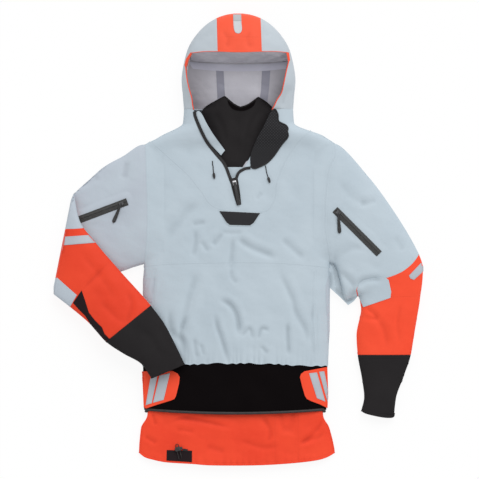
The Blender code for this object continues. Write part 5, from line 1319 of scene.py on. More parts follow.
start, stop = BAND.where_y(BAND_END_Y), BAND.where_y(BAND_TOP_Y)
rim = [BAND.at(np.linspace(start, stop, 34), turn, -0.0018)[:, :2] for turn in (0.0, math.pi)]
foot = np.linspace(rim[1][0], rim[0][0], 120)
foot[:, 1] += bow(foot[:, 0])
band_loop = chain(rim[0][3:], np.linspace(rim[0][-1], rim[1][-1], 120), rim[1][:2:-1], foot)
panel("outer_waistband", band_loop, band_height, BAND_KNIT, "torso", ["waistband"],
      [foot], [under(BAND, start, stop, 24, 110, -0.0026)], thick=0.0024)

GRIP_MIDDLE, GRIP_SHARE = -0.0085, 0.976
grip_line = BAND.at(BAND.where_y(-0.4735), np.linspace(0.0, math.tau, 220), -0.001)
grip_line[:, 2] = np.maximum(grip_line[:, 2], 0.0047)
grip_line[:, 0] = GRIP_MIDDLE + (grip_line[:, 0] - GRIP_MIDDLE) * GRIP_SHARE
grip_line[:, 1] += bow(grip_line[:, 0]) * (grip_line[:, 2] > 0.02)
make("grip_edge", [bead(grip_line, 0.004, 10)], GRIP, "torso", ["waistband_grip_edge"], thick=0)
print("waistband", round(BAND_TOP_Y - BAND_END_Y, 3), "m deep")

# %% Waist tabs with their stripes
TABS = {
    "left": {"cloth": [(142, 371.4), (150, 371.4), (173, 371), (177.6, 373.4), (179.8, 377),
                       (179, 384), (176, 396), (174.4, 399), (171, 400.4), (158, 404.4),
                       (145.8, 408.6), (143.6, 407)],
             "stripes": [[(150.3, 378.4), (157.4, 376), (151.7, 403.2), (145.6, 405.2)],
                         [(159.5, 375.6), (170, 373), (163.7, 399.8), (153, 402.8)]],
             "fold": [(-0.2212, -0.4065, 0.0), (-0.2134, -0.4083, 0.0)]},
    "right": {"cloth": [(327.4, 367), (304.6, 371.2), (301, 373.8), (299.9, 377), (302, 386),
                        (305, 396), (307, 399), (311, 401), (320, 404.4), (327.6, 408.2),
                        (328.3, 392)],
              "stripes": [[(319.1, 371.7), (324.3, 371.1), (328.0, 389), (327.7, 402.2)],
                          [(309, 373.2), (317, 372.4), (325.4, 401.6), (317, 398.2)]],
              "fold": [(0.2127, -0.4057, 0.0), (0.2049, -0.4079, 0.0)]}}
for side, shape in TABS.items():
    bend = ("torso", side + "_tab_end_body", *shape["fold"])
    sewn_on(f"{side}_tab_cloth", shape["cloth"], band_height, 0.0024, ORANGE, None,
            [side + "_tab_base", side + "_tab_end"], thick=0.0016, bend=bend)
    for index, stripe in enumerate(shape["stripes"]):
        sewn_on(f"{side}_stripe_{index + 1}", stripe, band_height, 0.0034, REFLECTIVE, None,
                [side + "_tab_stripes"], 0.0025, thick=0.0008, bend=bend)
print("waist made")

# %% [markdown]
# ## Inner skirt
# Under the waistband hangs a second, longer skirt of orange cloth. The deck of the boat is trapped
# between the two. Its hem is turned over a drawcord, which comes out at a patch and runs through a
# cord lock.

# %% Skirt, hem roll and patch
SKIRT_FOOT = line((138.9, 452.5), (145, 457), (153, 459.4), (166.5, 462), (192, 463.6), (212, 465),
                  (254, 465), (286, 463.4), (313, 460.6), (326, 457.4), (334.9, 452.5))
SKIRT_FOOT_Y = -0.617
PATCH_AT, PATCH_REACH = (-0.163, -0.59), 0.034


def skirt_height(flat):
    """Height of the skirt: pleats at its foot, folds above it, calm round the cord's patch."""
    x, y = flat.T
    foot = np.exp(-np.maximum(y - SKIRT_FOOT_Y, 0.0) / 0.01)
    pleats = 0.001 * foot * np.sin(math.tau * (x / 0.021 + 0.4 * np.sin(x * 37.0)))
    far = np.sum((flat - np.array(PATCH_AT)) ** 2, axis=1)
    calm = 1.0 - 0.95 * np.exp(-far / PATCH_REACH ** 2)
    return SKIRT_TOP(flat) + (folded(flat, SKIRT_FOLDS) + ripples(flat, 0.0008) + pleats) * calm


start, stop = SKIRT.where_y(spots((0, 452.5))[0][1]), SKIRT.where_y(-0.405)
rim = [SKIRT.at(np.linspace(start, stop, 50), turn, -0.0051)[:, :2] for turn in (0.0, math.pi)]
skirt_loop = chain(SKIRT_FOOT, rim[0], np.linspace(rim[0][-1], rim[1][-1], 120), rim[1][::-1])
SKIRT_SEAMS = [straight((275, 412), (275.4, 464)), straight((298, 412), (298.4, 461)),
               SKIRT_FOOT + np.array([0.0, 0.006])]
SKIRT_BOTTOM = Drop(SKIRT, -0.0056, under=True)
panel("inner_skirt", skirt_loop, skirt_height, SKIRT_ORANGE, "torso", ["skirt"], SKIRT_SEAMS,
      [underside(skirt_loop, SKIRT_BOTTOM)])
hem = lifted(SKIRT_FOOT, skirt_height, -0.0006)
make("skirt_hem_roll", [bead(hem, 0.0015)], SKIRT_ORANGE, "torso", thick=0)
sewn_on("hem_patch", [(166.8, 450.2), (192, 450.8), (192, 462.2), (166.5, 460.6)], skirt_height,
        0.0011, GUSSET_BLACK, "torso", ["skirt_patch"], thick=0.0012)
sewn_on("hem_patch_tag", [(182.7, 448.8), (187.8, 449.4), (187.6, 451.6), (182.5, 451)],
        skirt_height, 0.0022, PATCH_BLACK, "torso", (), 0.002, thick=0.0012)
print("skirt made")

# %% [markdown]
# ## Sleeves
# A sleeve is drawn from above like the body, with the underside of its tube behind it. The left
# forearm is folded back over its own sleeve and lies on the body; the right arm is bent, and its
# cloth bunches up inside the elbow.

# %% Left sleeve
UNDER_SKIN = -0.0008
FOLD = np.array([(-0.5079, -0.1502), (-0.453, 0.1249)])
FOLD_LINE = np.linspace(*FOLD, 70)
GREY_FROM = 27


def seal(side, tube, start, stop):
    """The thin latex cuff inside a neoprene one."""
    make(side + "_seal", [ring(tube, start, stop, 24, 70, -0.004)], SEAL, side + "_forearm",
         [side + "_wrist_seal"], thick=0.0006)


left_low_edge = edge_from(LEFT_UPPER, 1, (144, 263.5), (54, 294))
left_top_edge = edge_from(LEFT_UPPER, 0, (74, 194), (145.5, 146))
left_loop = chain(LEFT_ARMHOLE, left_low_edge, FOLD_LINE, left_top_edge)
LEFT_UNDER, LEFT_MIDDLE = Drop(LEFT_UPPER, UNDER_SKIN, under=True), (-0.38, 0.02)
panel("left_sleeve_cloth", left_loop, front, LILAC_GREY, None, ["left_upper_sleeve"],
      [LEFT_ARMHOLE],
      [under(LEFT_UPPER, 0.85, LEFT_UPPER.last, 80, 70),
       *(rim_between(edge, front, LEFT_UNDER, LEFT_MIDDLE)
         for edge in (left_low_edge, left_top_edge))], bend=LEFT_BEND)


def forearm(flat):
    """Height of the folded left forearm."""
    return FOREARM_TOP(flat) + folded(flat, FOREARM_FOLDS) + ripples(flat, 0.0008)


GREY_LINE = line((65.7, 229), (75, 228.8), (84.5, 228))
grey_end = LEFT_LOWER.nearest(0, GREY_LINE[-1])
grey_loop = chain(FOLD_LINE[GREY_FROM:], LEFT_LOWER.edge(0, 0.0, grey_end, 30), GREY_LINE[::-1])
panel("left_forearm_top", grey_loop, forearm, LILAC_GREY, "left_forearm", (), [GREY_LINE])
CUFF_LINE = np.linspace((-0.2404, -0.1821), (-0.3636, -0.2819), 40)
orange_loop = chain(FOLD_LINE[:GREY_FROM + 1], GREY_LINE, LEFT_LOWER.edge(0, grey_end, 4.0, 70),
                    CUFF_LINE, LEFT_LOWER.edge(1, 4.0, 0.0, 70))
SLEEVE_SEAM = line((108.6, 262.8), (96, 276), (82.3, 290))
panel("left_forearm_cloth", orange_loop, forearm, DEEP_ORANGE, "left_forearm",
      ["left_forearm", "left_forearm_under"], [GREY_LINE, CUFF_LINE, SLEEVE_SEAM],
      [under(LEFT_LOWER, 0.0, 4.0, 90, 60, lap=0.0)])
print("left sleeve fold", round(length_of(FOLD), 3), "m long")

# %% Left cuff, seal and the trims of the forearm
cuff_loop = chain(LEFT_LOWER.edge(0, 4.0, 7.0, 50),
                  np.linspace((-0.1469, -0.3443), (-0.2381, -0.383), 28),
                  LEFT_LOWER.edge(1, 7.0, 4.0, 50), CUFF_LINE[::-1])
panel("left_cuff_knit", cuff_loop, above(forearm, 0.0008), CUFF_KNIT, "left_forearm", ["left_cuff"],
      [CUFF_LINE], [under(LEFT_LOWER, 4.0, 7.0, 50, 50)], thick=0.002)
seal("left", LEFT_LOWER, 4.2, 6.5)
FOREARM_TRIMS = {
    "left_band": (REFLECTIVE, "left_reflective_band",
                  [(65.2, 236.6), (88.4, 235.0), (95.4, 242.6), (64.2, 245.2)]),
    "left_insert": (LILAC_GREY, "left_elbow_insert",
                    [(56.9, 277.4), (77.0, 295.0), (70.2, 306.8), (53.9, 294.4)]),
    "left_gusset": (GUSSET_BLACK, "left_cuff_gusset",
                    [(81.8, 290.4), (85.0, 299.6), (89.0, 312.4), (94.8, 320), (102.2, 327.4),
                     (104.5, 333.4), (110.2, 339.4), (107, 342.8), (99.6, 334.8), (90.6, 324.4),
                     (85.6, 316), (79.0, 309.4), (73.2, 302.8)])}
for name, (finish, node, shape) in FOREARM_TRIMS.items():
    sewn_on(name, shape, forearm, 0.0011, finish, "left_forearm", [node], thick=0.001)
print("left forearm trims:", ", ".join(FOREARM_TRIMS))

# %% The folded edge of the left sleeve
FOLD_OUT = np.array([-0.981, 0.196])
FOLD_LAP, FOLD_BULGE = 0.0008, 0.0042


def spine(name, share, levels, finish):
    """A strip of the rounded fold, between two shares of its length and two heights."""
    along, height = np.meshgrid(np.linspace(*share, 40), np.linspace(*levels, 9), indexing="ij")
    flat = FOLD[0] + along[..., None] * (FOLD[1] - FOLD[0])
    within = (flat - FOLD_LAP * FOLD_OUT).reshape(-1, 2)
    low, high = (skin(within).reshape(along.shape) for skin in (LEFT_UNDER, forearm))
    ends = np.minimum(1.0, 14 * np.minimum(along, 1 - along) + 0.1)
    bulge = FOLD_BULGE * np.sin(math.pi * height) * ends
    place = np.concatenate([flat + bulge[..., None] * FOLD_OUT,
                            (low + (high - low) * height)[..., None]], axis=-1)
    points = place.reshape(-1, 3)
    make(name, [(points, facing(points, quads(along.shape), (*FOLD_OUT, 0.0)))], finish, None, (),
         bend=("left_sleeve", "left_forearm", (-0.48, -0.0127, 0.016), (-0.48, -0.0127, 0.026)))


spine("left_fold_under", (0.0, 1.0), (0.0, 0.5), LILAC_GREY)
spine("left_fold_insert", (0.0, 0.155), (0.5, 1.0), LILAC_GREY)
spine("left_fold_orange", (0.155, 0.64), (0.5, 1.0), DEEP_ORANGE)
spine("left_fold_grey", (0.64, 1.0), (0.5, 1.0), LILAC_GREY)
print("fold closed")

# %% Right sleeve, forearm and cuff
right_loop = chain(RIGHT_ARMHOLE[::-1], edge_from(RIGHT_ARM, 0, (334.5, 144.5), (419.2, 254.4), 80),
                   ELBOW_SEAM[::-1],
                   straight((357.5, 296.5), (353.4, 301.6), (348.2, 305.2), (340, 297),
                            (328.9, 287)))
panel("right_sleeve_cloth", right_loop, front, GREY, None, ["right_upper_sleeve"],
      [RIGHT_ARMHOLE, ELBOW_SEAM], [under(RIGHT_ARM, 0.75, 2.95, 90, 70)], bend=RIGHT_BEND)
ELBOW_BEND = ("right_sleeve", "right_forearm", (0.4446, -0.0905, 0.0), (0.4751, -0.13, 0.0))
CUFF_TOP = np.linspace((0.4745, -0.3186), (0.3285, -0.3186), 38)
fore_edges = (edge_from(RIGHT_ARM, 0, (419.2, 254.4), (411, 355), 70),
              edge_from(RIGHT_ARM, 1, (357.8, 355), (357.5, 296.5), 50))
fore_loop = chain(ELBOW_SEAM, fore_edges[0], CUFF_TOP, fore_edges[1])
RIGHT_UNDER, FORE_MIDDLE = Drop(RIGHT_ARM, UNDER_SKIN, under=True), (0.41, -0.2)
FORE_SEAM = line((391, 297.4), (405, 297), (421.5, 296.4))
panel("right_forearm_cloth", fore_loop, front, ORANGE, None, ["right_forearm"],
      [ELBOW_SEAM, CUFF_TOP, FORE_SEAM],
      [under(RIGHT_ARM, 2.6, 6.0, 80, 60),
       *(rim_between(edge, front, RIGHT_UNDER, FORE_MIDDLE) for edge in fore_edges)],
      bend=ELBOW_BEND)
RIGHT_CUFF_END = line((395.0, 413.6), (394.4, 416.6), (391.6, 418.0), (382.9, 417.6), (370, 415.0),
                      (363.6, 412.8), (361.4, 410.6))
cuff_edges = RIGHT_ARM.edge(0, 6.0, 8.9, 50), RIGHT_ARM.edge(1, 8.93, 6.0, 50)
right_cuff_loop = chain(cuff_edges[0], RIGHT_CUFF_END, cuff_edges[1], CUFF_TOP[::-1])
CUFF_MIDDLE = (0.39, -0.4)
panel("right_cuff_knit", right_cuff_loop, above(front, 0.0008), CUFF_KNIT, "right_forearm",
      ["right_cuff"], [CUFF_TOP, CUFF_TOP - np.array([0.0, 0.011])],
      [under(RIGHT_ARM, 6.0, 9.0, 50, 50),
       rim_between(cuff_edges[1][:14], front, RIGHT_UNDER, CUFF_MIDDLE)], thick=0.002)
seal("right", RIGHT_ARM, 6.1, 8.3)
RIGHT_TRIMS = {
    "right_band": (REFLECTIVE, "right_reflective_band",
                   [(421.2, 262.8), (409, 275.6), (410.4, 278.6), (414, 279.9), (423.6, 271.2),
                    (423.4, 266)]),
    "right_insert": (GREY, "right_elbow_insert",
                     [(356.9, 289), (359, 283.6), (363.6, 280.2), (372, 278.2), (384.8, 276.8),
                      (388.6, 280), (391.2, 291.6), (390.4, 297.8), (363.2, 307.2), (358.2, 296)])}
for name, (finish, node, shape) in RIGHT_TRIMS.items():
    sewn_on(name, shape, front, 0.0011, finish, None, [node], thick=0.001, bend=ELBOW_BEND)
print("right arm trims:", ", ".join(RIGHT_TRIMS))

# %% Rolled edges of the cuffs, and pocket bags
for side, tube, where in (("left", LEFT_LOWER, 6.97), ("right", RIGHT_ARM, 8.97)):
    rim = tube.at(where, np.linspace(0.0, math.tau, 90), -0.0006)
    make(side + "_cuff_rim", [bead(rim, 0.0016)], CUFF_KNIT, side + "_forearm", thick=0)
BAGS = {"left": [(131, 203), (126, 240), (90, 246), (84, 232), (100, 214)],
        "right": [(334, 213), (336, 252), (352, 266), (371, 262), (372, 250)]}
for side, shape in BAGS.items():
    sewn_on(side + "_pocket_lining", shape, front, -0.0055, MESH_BAG,
                          side + "_sleeve", [side + "_pocket_bag"], STEP)
print("sleeves made")

# %% [markdown]
# ## Hood
# The hood lies on the table with its opening up. Two side panels and an orange crown panel make its
# outer skin, with a narrow binding round the face. Through the opening one sees the lining, its
# sealed seams and the crumpled facing behind the brim.

# %% Hood panels
HOOD_BEND = ("torso", "hood", (0.0, 0.352, 0.0), (0.0, 0.385, 0.0))
HOOD_FOLDS = [(2.2, 7, [(196, 44), (208, 36), (216, 34)]),
              (2.0, 7, [(282, 44), (272, 36), (263, 34)]),
              (1.6, 6, [(222, 30), (228, 40), (226, 50)]),
              (1.6, 6, [(252, 28), (248, 40), (252, 50)]),
              (1.8, 6, [(184, 84), (188, 98), (188, 112)]),
              (1.8, 6, [(292, 86), (284, 100), (284, 112)])]


def hood_height(flat):
    """Height of the hood's outer skin."""
    fold = folded(flat, HOOD_FOLDS) + ripples(flat, 0.0008, 0.8)
    within = np.column_stack([flat[:, 0], np.maximum(flat[:, 1], HOOD_SEAM_Y + 0.0005)])
    return HOOD_TOP(within) + fold * soft_step((flat[:, 1] - HOOD_SEAM_Y) / 0.02)


CROWN_LEFT = line((217.7, 52), (217.2, 36), (216.8, 19.5))
CROWN_RIGHT = line((261.8, 52), (261.2, 36), (260.5, 17.5))
CROWN_SEAM = line((217.3, 38), (239, 37.4), (261.3, 38))
HOOD_BOTTOM = Drop(HOOD, -0.0005, under=True)


def brim_part(first, last):
    """The brim's edge between two columns of the photograph."""
    low, high = (x for x, y in spots((first, 0), (last, 0)))
    return BRIM[(BRIM[:, 0] >= low) & (BRIM[:, 0] <= high)]


left_arc = edge_from(HOOD, 1, (184, 110), (216.8, 19.5), 80)
left_hood = chain(left_arc, CROWN_LEFT[::-1], brim_part(190, 217.7)[::-1], FACE_LEFT)
right_arc = edge_from(HOOD, 0, (293.1, 110), (260.5, 17.5), 80)
right_hood = chain(right_arc, CROWN_RIGHT[::-1], brim_part(261.8, 288.2), FACE_RIGHT)
crown_arc = chain(edge_from(HOOD, 1, (216.8, 19.5), (238, 13.2), 30),
                  edge_from(HOOD, 0, (239, 13.2), (260.5, 17.5), 30))
crown = chain(crown_arc, CROWN_RIGHT[::-1], brim_part(217.8, 261.7)[::-1], CROWN_LEFT)
HOOD_MIDDLE = (0.0, 0.45)
split = spots((217.3, 0), (261.4, 0))
left_inner = np.linspace(left_arc[-1], (split[0][0], HOOD_SEAM_Y), 70)
right_inner = np.linspace(right_arc[-1], (split[1][0], HOOD_SEAM_Y), 70)
for name, loop, arc, inner, finish, node, seams in (
        ("hood_left", left_hood, left_arc, left_inner, HOOD_GREY, "hood_left_panel",
         [CROWN_LEFT, FACE_LEFT]),
        ("hood_right", right_hood, right_arc, right_inner, HOOD_GREY, "hood_right_panel",
         [CROWN_RIGHT, FACE_RIGHT]),
        ("hood_crown", crown, crown_arc, chain(right_inner, left_inner[::-1]), HOOD_ORANGE,
         "hood_middle_panel", [CROWN_LEFT, CROWN_RIGHT, CROWN_SEAM])):
    closed = [underside(chain(arc, inner), HOOD_BOTTOM),
              rim_between(arc, hood_height, HOOD_BOTTOM, HOOD_MIDDLE)]
    panel(name, loop, hood_height, finish, None, [node], seams, closed, bend=HOOD_BEND)
    print(name, "closed below with", len(arc), "points round its back")

# %% Lining, tapes, facing and binding
points, faces = grid(HOOD, 0.0, 5.4, math.pi - 0.4, math.tau + 0.4, 90, 90, -0.004)
points[:, 2] += np.abs(ripples(points[:, :2], 0.0016, 0.7))
make("hood_lining", [(points, facing(points, faces, (0.0, 0.0, 1.0)))], LINING, None, (),
     bend=HOOD_BEND)
LINING_TOP = BVHTree.FromPolygons([Vector(p) for p in points], [tuple(map(int, f)) for f in faces])
LINING_SEEN_FROM, LINING_FLOOR = 0.03, 0.006
DOWN = Vector((0.0, 0.0, -1.0))


def lining_height(flat):
    """Height of the lining on the table side, seen through the hood's opening."""
    found = []
    for x, y in flat:
        hit = LINING_TOP.ray_cast(Vector((x, y, LINING_SEEN_FROM)), DOWN)[0]
        found.append(LINING_FLOOR if hit is None else hit.z)
    return np.array(found)


TAPES = {"cross": [(188, 61.5), (214, 63.5), (239, 64.2), (266, 63.5), (287, 61.5), (286, 68.6),
                   (266, 70.6), (239, 71.2), (214, 70.6), (193, 68.6)],
         "left": [(216, 70.4), (223.6, 70.8), (224.6, 90), (226, 108), (218, 108), (217, 90)],
         "right": [(262, 70.8), (270.4, 70.4), (269, 90), (266.4, 108), (258.8, 108), (261, 90)]}
for name, shape in TAPES.items():
    # The cross tape takes the paler copy, which is painted light against the facing's shadow.
    finish = SEALED_CROSS_LIT if name == "cross" else SEALED
    sewn_on(f"hood_tape_{name}", shape, lining_height, 0.0008, finish, "hood", ["hood_seam_tapes"],
            thick=0.0003)

BRIM_Y, FACING_TOP_Y = 0.5135, 0.5145
FACING_DEPTH, FACING_FLOOR = 0.027, 0.02


def facing_height(flat):
    """Height of the crumpled facing, which drops from the brim towards the lining."""
    x, y = flat.T
    top = HOOD_TOP(np.column_stack([x, np.full(len(flat), BRIM_Y)])) - 0.003
    down = np.clip((FACING_TOP_Y - y) / FACING_DEPTH, 0.0, 1.0)
    crumple = 0.003 * np.sin(x * 150 + 2.5 * np.sin(y * 260)) + ripples(flat, 0.003, 0.35)
    free = np.minimum(1.0, (FACING_TOP_Y - y) / 0.006 + 0.1)
    return top * (1 - down) + FACING_FLOOR * down + crumple * free


FACING_LOOP = chain(brim_part(191, 287.4) + np.array([0.0, 0.0008]),
                    line((287, 54), (286.4, 60.5), (266, 62), (239, 62.6), (212, 62), (192.4, 60.5),
                         (191.6, 54)))
panel("brim_facing", FACING_LOOP, facing_height, FACING, "hood", ["brim_stiffener"], (),
      step=0.0028)
edges = [bead(lifted(path, hood_height, -0.0004), radius)
         for path, radius in ((FACE_LEFT, 0.0014), (BRIM, 0.0009), (FACE_RIGHT, 0.0014))]
make("face_binding", edges, HOOD_ORANGE, None, (), thick=0, bend=HOOD_BEND)
for name, shape in (("left_face_corner",
                     [(190.6, 52.6), (192, 54.4), (188.4, 60.6), (186.8, 67), (184.4, 65.6),
                      (186, 59)]),
                    ("right_face_corner",
                     [(286.2, 52.4), (289, 53), (290, 60.4), (288.2, 63), (287.4, 57.6)])):
    sewn_on(name, shape, hood_height, 0.0008, HOOD_ORANGE, None, (), 0.0025, bend=HOOD_BEND)
tab_loop = chain(line((233.9, 29.4), (233.4, 24), (233.1, 14.6)),
                 line((241.2, 14.6), (241.5, 24), (242.0, 29.4), (240.9, 32.8), (238, 34.1),
                      (235.1, 32.8)))
panel("hood_tab", tab_loop, above(hood_height, 0.0012), HOOD_REFLECTIVE, "hood",
      ["hood_reflective_tab"], [tab_loop], step=0.003, thick=0.001)
# The tab's end is a darker sheet laid over the tab: painted shadow.
sewn_on("hood_tab_end_shade", [(233.1, 14.6), (241.2, 14.6), (241.5, 21.4), (233.4, 21.4)], hood_height,
        0.0018, HOOD_TAPE_END_SHADE, "hood", thick=0.0008)
print("hood made")

# %% [markdown]
# ## Neck
# Inside the open zip stands a neoprene gaiter. A light guard lies along the left half of the zip,
# and the chin flap on the right is folded open, so that its dotted fleece shows.

# %% Gaiter, guard, underlap
GAITER_RIM = chain(line((199, 120), (202, 112), (206.6, 106.6), (214.6, 101.8), (224.8, 96.6)),
                   line((224.8, 96.6), (234.3, 104.6), (240.5, 107.4)),
                   line((240.5, 107.4), (248, 104.8), (258.4, 97.4)),
                   line((258.4, 97.4), (265.6, 101.8), (272, 107.6)))
gaiter_loop = chain(GAITER_RIM,
                    line((272, 107.6), (270, 118), (262, 134), (255, 150), (250.5, 167)),
                    straight((250.5, 167), (227, 167)),
                    line((227, 167), (217, 158), (205, 141), (199, 120)))
GAITER_FOLDS = [(1.8, 6, [(212, 112), (222, 126), (226, 146)]),
                (1.8, 6, [(262, 108), (252, 124), (247, 146)]),
                (1.4, 6, [(236, 114), (238, 132), (234, 152)])]


def gaiter_height(flat):
    """Height of the gaiter's front."""
    return GAITER_TOP(flat) + folded(flat, GAITER_FOLDS) + ripples(flat, 0.001, 0.8)


gaiter_back = under(GAITER, 0.0, GAITER.where_y(0.352), 60, 70, -0.0004)
panel("gaiter", gaiter_loop, gaiter_height, GAITER_KNIT, "torso", ["neck_gaiter"], [GAITER_RIM],
      [gaiter_back], thick=0.0022)
make("gaiter_lip", [bead(lifted(GAITER_RIM, gaiter_height, -0.0004), 0.0021)], GAITER_KNIT, "torso",
     thick=0)
# Painted shade: the blackest knit laid over the dip of the gaiter's rim, where one looks into its
# shaded inside.
mouth_shade = chain(line((227.4, 100.4), (234.3, 105.6), (240.5, 108.4)),
              line((240.5, 108.4), (248, 105.8), (256, 100.4)),
              line((256, 100.4), (253.4, 106), (247, 110), (240.6, 111), (233.6, 109.6),
                   (229.4, 105.6), (227.4, 100.4)))
panel("gaiter_mouth_shade", mouth_shade, above(gaiter_height, 0.0012), BAND_KNIT, "torso", (), (), step=0.003)


def body_height(flat):
    """Height of the body without its folds."""
    return TORSO_TOP(on_body(flat))


guard_loop = chain(line((195.4, 117), (196.2, 112.6), (198.6, 111.2), (202, 114.4), (207, 124),
                        (213.7, 135), (225, 150.4)), line((221, 155.5), (205.5, 138), (195.4, 117)))
panel("zip_guard_cloth", guard_loop, above(body_height, -0.0016), GUARD_GREY, "torso",
      ["zip_guard"], [guard_loop], step=0.003)
UNDERLAPS = {
    "zip_underlap": (GREY, -0.0075,
                     [(226.4, 167.2), (246, 167.2), (240, 171.6), (234, 180), (229.6, 176.6)]),
    "neck_lining": (LINING, -0.0068, [(250.4, 155), (250.4, 168), (246, 168.4), (242.6, 167.2)])}
for name, (finish, lift, shape) in UNDERLAPS.items():
    sewn_on(name, shape, body_height, lift, finish, "torso")
print("neck made")

# %% Chin flap with its piping
FLAP_FREE = line((250.6, 166.4), (255, 168.4), (266.5, 163.2), (273.7, 156), (281, 145.5),
                 (287.2, 138), (288, 134.5), (287.2, 131.6), (287.8, 128.6), (286, 125.6),
                 (281.6, 123.4), (278.2, 121), (277.8, 115), (275, 109.6), (271.4, 111.4))
flap_loop = chain(FLAP_FREE,
                  line((271.4, 111.4), (268.6, 116.4), (263, 128), (256.8, 139.4), (250.6, 155),
                       (250.6, 166.4)))
FLAP = panel("chin_flap_fleece", flap_loop, above(front, 0.0026), FLEECE, "chin_flap_body",
             ["chin_flap"], [FLAP_FREE], step=0.003, thick=0.002)
make("chin_flap_piping", [bead(lifted(FLAP_FREE, front, 0.0022), 0.0022)], TAPE_BLACK,
     "chin_flap_body", thick=0)

# %% [markdown]
# ## Zips
# The main zip has moulded teeth on black tape; above its slider the two halves part. The pocket
# zips are coated and show no teeth, only two lips that meet in a line.

# %% Zips
def ribbon(path, width):
    """Outline of a tape along a line."""
    path = np.asarray(path, float)
    ahead = np.gradient(path, axis=0)
    ahead /= np.linalg.norm(ahead, axis=1)[:, None]
    side = np.column_stack([-ahead[:, 1], ahead[:, 0]]) * width / 2
    return chain(path + side, (path - side)[::-1])


left_tape = line((194.4, 111.6), (196, 119), (205.8, 140.2), (216, 153.8), (224.4, 164), (229, 175),
                 (232, 183))
right_tape = line((235.6, 181), (238.5, 173), (244.8, 168.9), (250.4, 168))
panel("left_zip_half", ribbon(left_tape, 0.0085), above(body_height, 0.0012), TAPE_BLACK, "torso",
      ["zip_tape_left"], [left_tape], step=0.0025, thick=0.001)
panel("right_zip_half", ribbon(right_tape, 0.008), above(body_height, 0.0012), TAPE_BLACK, "torso",
      (), [right_tape], step=0.0025, thick=0.001)


def zip_place(key):
    """A function from places along, across and above a zip to places in the frame."""
    start, run, up = (np.array(v) for v in ZIPS[key][:3])
    side = np.cross(up, run)

    def at(u, v, h):
        return (start + np.multiply.outer(u, run) + np.multiply.outer(v, side)
                + np.multiply.outer(h, up))

    return at


def strip_of(key, profile, taper=0.0, columns=15):
    """A tape in the zip's plane, whose height across it is given by a profile."""
    up, length, tape = ZIPS[key][2:]
    at = zip_place(key)
    u, v = np.meshgrid(np.linspace(0.0, length, int(length / 0.003)),
                       np.linspace(-tape / 2, tape / 2, columns), indexing="ij")
    narrow = 1.0 - taper * (u / length) ** 2
    points = at(u.ravel(), (v * narrow).ravel(), profile(v.ravel()))
    return points, facing(points, quads(u.shape), up)


TOOTH_SIDES, TOOTH_SHIFT, TOOTH_LEVEL = 6, 0.0007, 0.001


def teeth(key, pitch, reach, height):
    """Interlocked teeth: short rounded bars, every other one set over to the other side."""
    length, at = ZIPS[key][3], zip_place(key)
    sections = (-reach, 0.55), (-reach * 0.8, 1.0), (reach * 0.8, 1.0), (reach, 0.55)
    turn = np.linspace(0.0, math.tau, TOOTH_SIDES, endpoint=False)
    points, faces = [], []
    for index, u in enumerate(np.arange(0.006, length - 0.002, pitch)):
        shift = TOOTH_SHIFT * (1 if index % 2 else -1)
        faces += barrel(len(sections), TOOTH_SIDES, len(points))
        for v, size in sections:
            points += [tuple(at(u + pitch * 0.42 * size * math.cos(a), v + shift,
                                TOOTH_LEVEL + height * size * math.sin(a))) for a in turn]
    return points, faces


def main_profile(v):
    """The tape rises a little under the teeth."""
    return 0.0008 + 0.0006 * np.exp(-(v / 0.006) ** 2)


def lip_profile(v):
    """Two coated lips that meet in a line, and flat margins."""
    lips = 0.0009 * np.exp(-((np.abs(v) - 0.0024) / 0.0022) ** 2)
    gap = 0.0008 * np.exp(-(v / 0.0007) ** 2)
    margin = 0.0006 * soft_step((np.abs(v) - 0.0085) / 0.0015)
    return 0.0012 + lips - gap - margin


make("main_zip_tape", [strip_of("main", main_profile, 0.45)], TAPE_BLACK, "torso", ["main_zip"],
     thick=0.0009)
make("main_zip_teeth", [teeth("main", 0.0021, 0.0032, 0.0011)], COIL, "torso", thick=0)
for side, bend in (("left", LEFT_BEND), ("right", RIGHT_BEND)):
    lips = strip_of(side + "_pocket", lip_profile, columns=41)
    make(side + "_zip_tape", [lips], TAPE_GREY, None, [side + "_pocket_zip"], thick=0.001,
         bend=bend)
print("zips:", ", ".join(ZIPS))

# %% Chest patch
PATCH = [(219.4, 211.2), (260.0, 213.2), (253.6, 222.8), (250, 225.4), (230, 224.9), (226.6, 222.4)]
RIM = [(218.2, 210.0), (261.6, 212.1), (254.6, 223.6), (250.8, 226.6), (229.2, 226.1), (225.4, 223)]
for name, shape, lift, finish, nodes in (
        ("chest_patch_rim", RIM, 0.0008, GUARD_GREY, ()),
        ("chest_patch_knit", PATCH, 0.0018, PATCH_BLACK, ["chest_patch"])):
    sewn_on(name, shape, front, lift, finish, "torso", nodes, thick=0.0008)
print("chest patch made")

# %% [markdown]
# ## Hardware
# Sliders, pulls, cord ends and the cord lock are rigid and already have their shape in the frame.
# Copies of those solids get rounded edges, because a moulded or cast piece has no sharp corner, and
# the finish of metal or rubber.

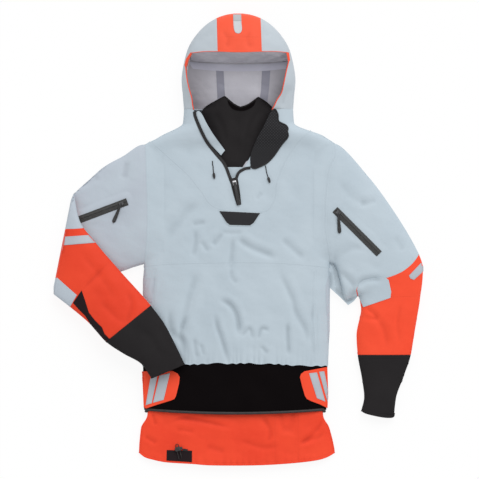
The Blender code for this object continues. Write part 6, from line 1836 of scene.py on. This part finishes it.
# %% Sliders, pulls, cord ends and lock
def rounded_copy(node, finish, body, width):
    """A copy of one solid of the frame with rounded edges."""
    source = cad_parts[node]
    mesh = source.data.copy()
    mesh.name = node + "_rounded"
    mesh.materials.clear()
    mesh.materials.append(finish.material)
    piece = bpy.data.objects.new(node + "_rounded", mesh)
    piece.matrix_world = source.matrix_world
    SCENE.collection.objects.link(piece)
    weld = piece.modifiers.new("weld", "WELD")
    weld.merge_threshold = 0.00002
    edge = piece.modifiers.new("edge", "BEVEL")
    edge.width, edge.segments = width, 2
    edge.limit_method, edge.angle_limit = "ANGLE", math.radians(40)
    mesh.shade_smooth()
    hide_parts(node)
    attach(piece, body)
    return piece


PULL_REACH, PULL_ROWS, PULL_SIDES = 0.014, 24, 14


def world_points(node):
    """Corners of one solid of the frame, where it stands."""
    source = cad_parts[node]
    return np.array([source.matrix_world @ corner.co for corner in source.data.vertices])


def teardrop(side):
    """A moulded pocket pull: narrow at the slider, wide and round at its end, on the cloth."""
    points = world_points(side + "_pocket_pull")
    middle = points.mean(axis=0)
    axis = np.linalg.svd(points - middle, full_matrices=False)[2][0]
    axis *= np.sign(axis @ (middle - world_points(side + "_pocket_slider").mean(axis=0)))
    along = (points - middle) @ axis
    across = np.cross((0.0, 0.0, 1.0), axis)
    turn = np.linspace(0.0, math.tau, PULL_SIDES, endpoint=False)
    shape = []
    for share in np.linspace(0.0, 1.0, PULL_ROWS):
        blunt = math.sqrt(max(1.0 - abs(2.0 * share - 1.0) ** 7, 0.02))
        centre = middle + axis * (along.min() + share * (along.max() + PULL_REACH - along.min()))
        centre[2] = max(centre[2], front(centre[None, :2])[0] + 0.003)
        half = (0.0024 + 0.0036 * share) * blunt
        for a in turn:
            rise = np.array([0.0, 0.0, 0.0023 * blunt * math.sin(a)])
            shape.append(tuple(centre + across * half * math.cos(a) + rise))
    make(side + "_pull_grip", [(shape, barrel(PULL_ROWS, PULL_SIDES))], PULL,
         side + "_pocket_pull_body", [side + "_pocket_pull"], thick=0)


for side in ("left", "right"):
    teardrop(side)
HARDWARE = {"main_slider": (SLIDER_STEEL, "main_slider_body"),
            "main_pull": (PULL, "main_pull_body"),
            "left_pocket_slider": (SLIDER_DARK, "left_pocket_slider_body"),
            "right_pocket_slider": (SLIDER_DARK, "right_pocket_slider_body"),
            "left_cord_end": (RUBBER, "torso"), "right_cord_end": (RUBBER, "torso"),
            "cord_lock": (RUBBER, "cord_lock_body"),
            "cord_lock_button": (PULL, "cord_lock_button_body")}
ROUNDED = {node: rounded_copy(node, finish, body, 0.0005)
           for node, (finish, body) in HARDWARE.items()}
print("hardware:", ", ".join(ROUNDED))
